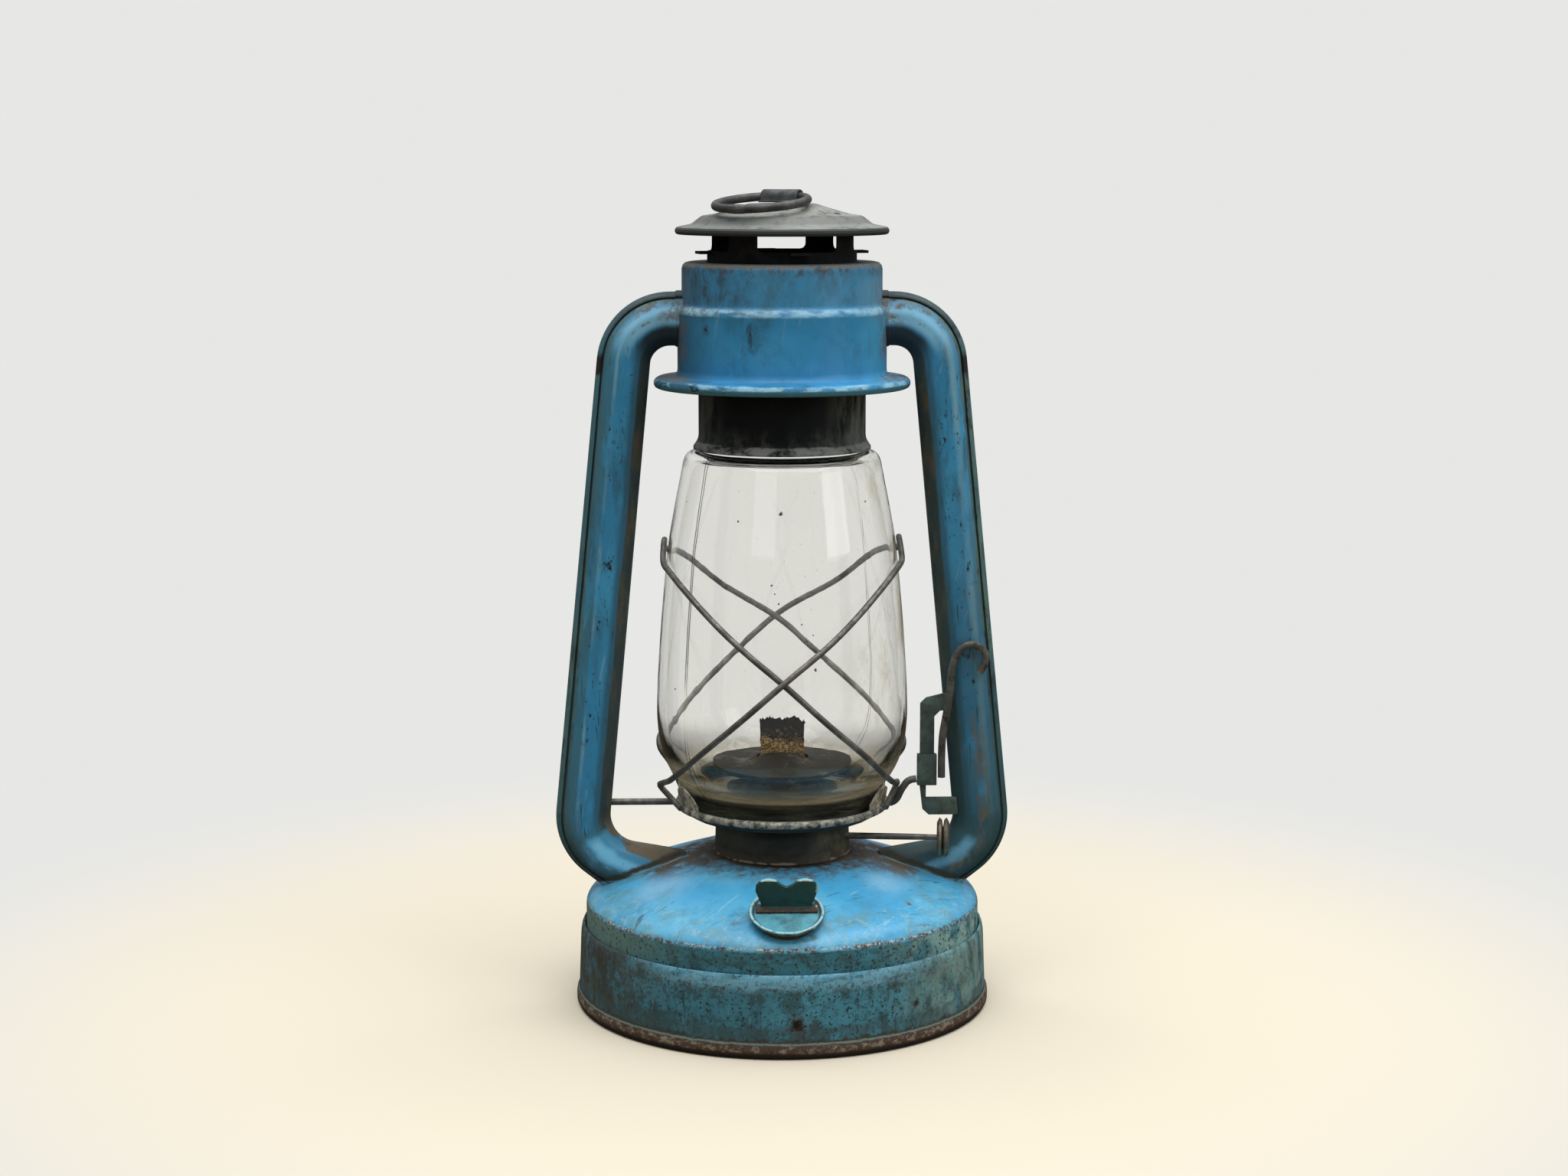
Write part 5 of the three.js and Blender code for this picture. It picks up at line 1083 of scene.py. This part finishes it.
def makeBurner(wireMaterial):
    collar = turnProfile(burner["collar"], 144)
    finishPiece(collar, "burnerCollar", "frame", ["burner_collar"], 40)
    brass = Finish("collarBrass", "2c2f29", 0.55, 0.25)
    brass.layer("3c3e36", 0.55, (0.42, 0.68, 12, 6, 0.6))
    # painted sheen on the right side of the collar
    brass.layer("5c5a4a", 0.5, brass.ramp(brass.x, 0.004, 0.022), (0.36, 0.6, 6, 7, 1, 4, 0.7))
    # painted shade on the top of the collar, under the plate
    brass.layer("151613", 0.75, (brass.z, 67.5, 73, 1.6, 1, 5), 0.7)
    brass.layer("4a4132", 0.8, (brass.z, 57, 61, 0.8, 2, 4), (0.4, 0.6, 4, 6))
    foot = brass.times((brass.z, 57, 58.8, 0.3, 0.5, 4), (0.5, 0.58, 7, 5))
    brass.layer("8d8370", 0.5, foot, (brass.radius(), 25.4, 27, 0.2))
    brass.layer("38291c", 0.85, brass.specks(2, 0.07))
    coat(collar, brass.done(0.1, 2))
    basket = copyNode("burner_basket")
    finishPiece(basket, "airBasket", "frame", ["burner_basket"], 35)
    cone = finishCopy("burner_cone", "flameCone", "frame", (0.2, 2, 40), 35)
    black = Finish("coneSoot", "23221f", 0.7, 0.1)
    black.layer("35332e", 0.75, (0.42, 0.64, 8, 6))
    black.layer("57544a", 0.6, (0.54, 0.66, 3, 6, (3, 3, 1), 5, 0.7))
    black.layer("4d4438", 0.9, black.specks(1.4, 0.06), lift=0.3)
    coat(cone, black.done(0.12, 1, shine=0.3))
    coat(basket, black.material)
    for node in burner["hidden"]:
        coat(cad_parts[node], brass.material)

    look = burner["wick"]
    deselectAll()
    bpy.ops.mesh.primitive_cube_add(size=1, location=(0, 0, (look["top"] - look["size"][2] / 2) * mm))
    wick = bpy.context.object
    setMode("EDIT")
    bpy.ops.transform.resize(value=tuple(s * mm for s in look["size"]))
    bpy.ops.mesh.subdivide(number_cuts=look["cuts"])
    setMode("OBJECT")
    pickOnly(wick)
    bpy.ops.object.transform_apply(location=True)
    for vertex in wick.data.vertices:
        vertex.select = vertex.co[2] > look["free"] * mm
    setMode("EDIT")
    bpy.ops.mesh.select_mode(type="VERT")
    bpy.ops.transform.resize(value=(*look["swell"], 1), center_override=(0, 0, look["free"] * mm))
    setMode("OBJECT")
    for name, axis, strength, scale in look["rags"]:
        rag = wick.modifiers.new(name, "DISPLACE")
        rag.texture = bpy.data.textures.new(name, "CLOUDS")
        rag.texture.noise_scale = scale * mm
        rag.texture_coords = "LOCAL"
        rag.direction = axis
        rag.strength = strength * mm
        rag.mid_level = look["ragMiddle"]
    wick.rotation_euler = (0, 0, math.radians(look["turn"]))
    finishPiece(wick, "flatWick", "wick", ["wick"], 50)
    weave = Finish("wickWeave", "54432f", 0.95)
    threads = weave.patches(0.44, 0.56, 0.7, 6, (1.5, 1, 1), 0, 0.75)
    weave.layer("b79a6c", 0.95, threads, lift=0.6)
    weave.layer("2a2018", 0.95, weave.specks(1, 0.08, 3))
    ash = weave.zone(weave.z, 99.6, 130, 1.6, 5, 4)
    weave.layer("1a1512", 0.95, ash, (0.34, 0.48, 1.4, 5, 1, 4))
    weave.layer("090807", 0.97, (weave.z, 103.4, 130, 1.6, 5, 3))
    coat(wick, weave.done(0.4, 0.8, shine=0.1))

    shaft = roundWire("wick_shaft", 0.0)
    finishPiece(shaft, "wickShaft", "wick_drive", ["wick_shaft"], 60)
    coat(shaft, wireMaterial)
    knob = finishCopy("wick_knob", "wickKnob", "wick_drive", (0.25, 2, 35), 35)
    bright = Finish("knobSteel", "a09a8a", 0.36, 0.8)
    bright.layer("7c7260", 0.5, (0.42, 0.62, 4, 4))
    bright.layer("4d3d2c", 0.8, bright.specks(1.3, 0.12), metal=0.3)
    coat(knob, bright.done(0.1, 1))
    print("burner made")


makeTank()
makeTubes()
makeDrum()
makeHood()
makeGlobe()
wireMaterial = makeCarrier()
makeFiller()
makeBurner(wireMaterial)
spring = roundWire("hood_spring", 0.15)
finishPiece(spring, "hoodSpring", "frame", ["hood_spring"], 60)
coat(spring, wireMaterial)
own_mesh(spring)


# Floor, sky and lamps
studio = {
    "floor": "d9d0bc", "bounce": "a08c6a", "mirror": "3d362b", "wall": (0.8, 0.805, 0.79, 1),
    "near": 0.17, "far": 0.42, "size": 12, "sky": (0.95, 0.97, 1, 1),
    "glow": (("Z", (-0.1, 0.9, 0.1, 0.75)), ("Y", (-0.9, 0.5, 0.45, 1.2))),
    "lamps": (
        ("topLight", (0.1, -0.2, 1.7), (6, 4, 0), 2.2, 40),
        ("frontLight", (-0.7, -1.9, 0.9), (68, 0, -20), 0.9, 2.2),
        ("rightLight", (1.6, -1.0, 0.8), (68, 0, 58), 0.9, 5),
    ),
}
directRays = ("Is Camera Ray", "Is Transmission Ray")


def seenRays(nodes, kinds):
    # 1 for the listed kinds of ray
    ray = nodes.new("ShaderNodeLightPath")
    value = ray.outputs[kinds[0]]
    for kind in kinds[1:]:
        either = nodes.new("ShaderNodeMath")
        either.operation = "MAXIMUM"
        either.id_data.links.new(value, either.inputs[0])
        either.id_data.links.new(ray.outputs[kind], either.inputs[1])
        value = either.outputs[0]
    return value


def makeStudio():
    deselectAll()
    bpy.ops.mesh.primitive_plane_add(size=studio["size"], location=(0, 0, 0))
    floor = bpy.context.object
    floor.name = "floor"
    pale = Finish("floorPale", studio["bounce"], 0.9)
    pale.layer(studio["floor"], None, seenRays(pale.tree.nodes, directRays))
    pale.layer(studio["mirror"], None, seenRays(pale.tree.nodes, ("Is Glossy Ray",)))
    pale.done(0, shine=0.1)
    wall = pale.node("ShaderNodeEmission", {"Color": studio["wall"], "Strength": 1.0})
    direct = seenRays(pale.tree.nodes, directRays)
    far = pale.times(pale.ramp(pale.radius(), studio["near"], studio["far"]), direct)
    pale.surface(pale.mixShaders(far, pale.shader, wall))
    coat(floor, pale.material)
    world = bpy.data.worlds.new("studioWorld")
    bpy.context.scene.world = world
    world.use_nodes = True
    tree = world.node_tree
    back = tree.nodes["Background"]
    place = tree.nodes.new("ShaderNodeTexCoord")
    split = tree.nodes.new("ShaderNodeSeparateXYZ")
    level = tree.nodes.new("ShaderNodeMath")
    level.operation = "MULTIPLY"
    back.inputs["Color"].default_value = studio["sky"]
    tree.links.new(place.outputs["Generated"], split.inputs[0])
    # the light from the sky changes with height, and from front to back
    for factor, (axis, limits) in zip(level.inputs, studio["glow"]):
        change = tree.nodes.new("ShaderNodeMapRange")
        for name, value in zip(("From Min", "From Max", "To Min", "To Max"), limits):
            change.inputs[name].default_value = value
        tree.links.new(split.outputs[axis], change.inputs["Value"])
        tree.links.new(change.outputs[0], factor)
    tree.links.new(level.outputs[0], back.inputs["Strength"])
    seen = tree.nodes.new("ShaderNodeBackground")
    seen.inputs["Color"].default_value = studio["wall"]
    mix = tree.nodes.new("ShaderNodeMixShader")
    tree.links.new(seenRays(tree.nodes, directRays), mix.inputs[0])
    tree.links.new(back.outputs[0], mix.inputs[1])
    tree.links.new(seen.outputs[0], mix.inputs[2])
    tree.links.new(mix.outputs[0], tree.nodes["World Output"].inputs["Surface"])
    for name, location, turn, size, power in studio["lamps"]:
        deselectAll()
        turn = tuple(math.radians(a) for a in turn)
        bpy.ops.object.light_add(type="AREA", location=location, rotation=turn)
        lamp = bpy.context.object
        lamp.name = name
        lamp.data.size = size
        lamp.data.energy = power


# Camera, found from the photograph's own perspective
view = {
    "distance": 1.0, "height": 0.3165, "turn": -1.5, "aim": 0.041, "pitch": 8.96, "sensor": 36, "lens": 61.56,
}


def makeCamera():
    turn, distance = math.radians(view["turn"]), view["distance"]
    location = (distance * math.sin(turn), -distance * math.cos(turn), view["height"])
    rotation = (math.pi / 2 - math.radians(view["pitch"]), 0, turn - math.radians(view["aim"]))
    bpy.ops.object.camera_add(location=location, rotation=rotation)
    camera = bpy.context.object
    camera.name = "photoCamera"
    camera.data.sensor_width = view["sensor"]
    camera.data.lens = view["lens"]
    bpy.context.scene.camera = camera


makeStudio()
makeCamera()
bpy.context.scene.view_settings.view_transform = "Standard"
print("studio made")
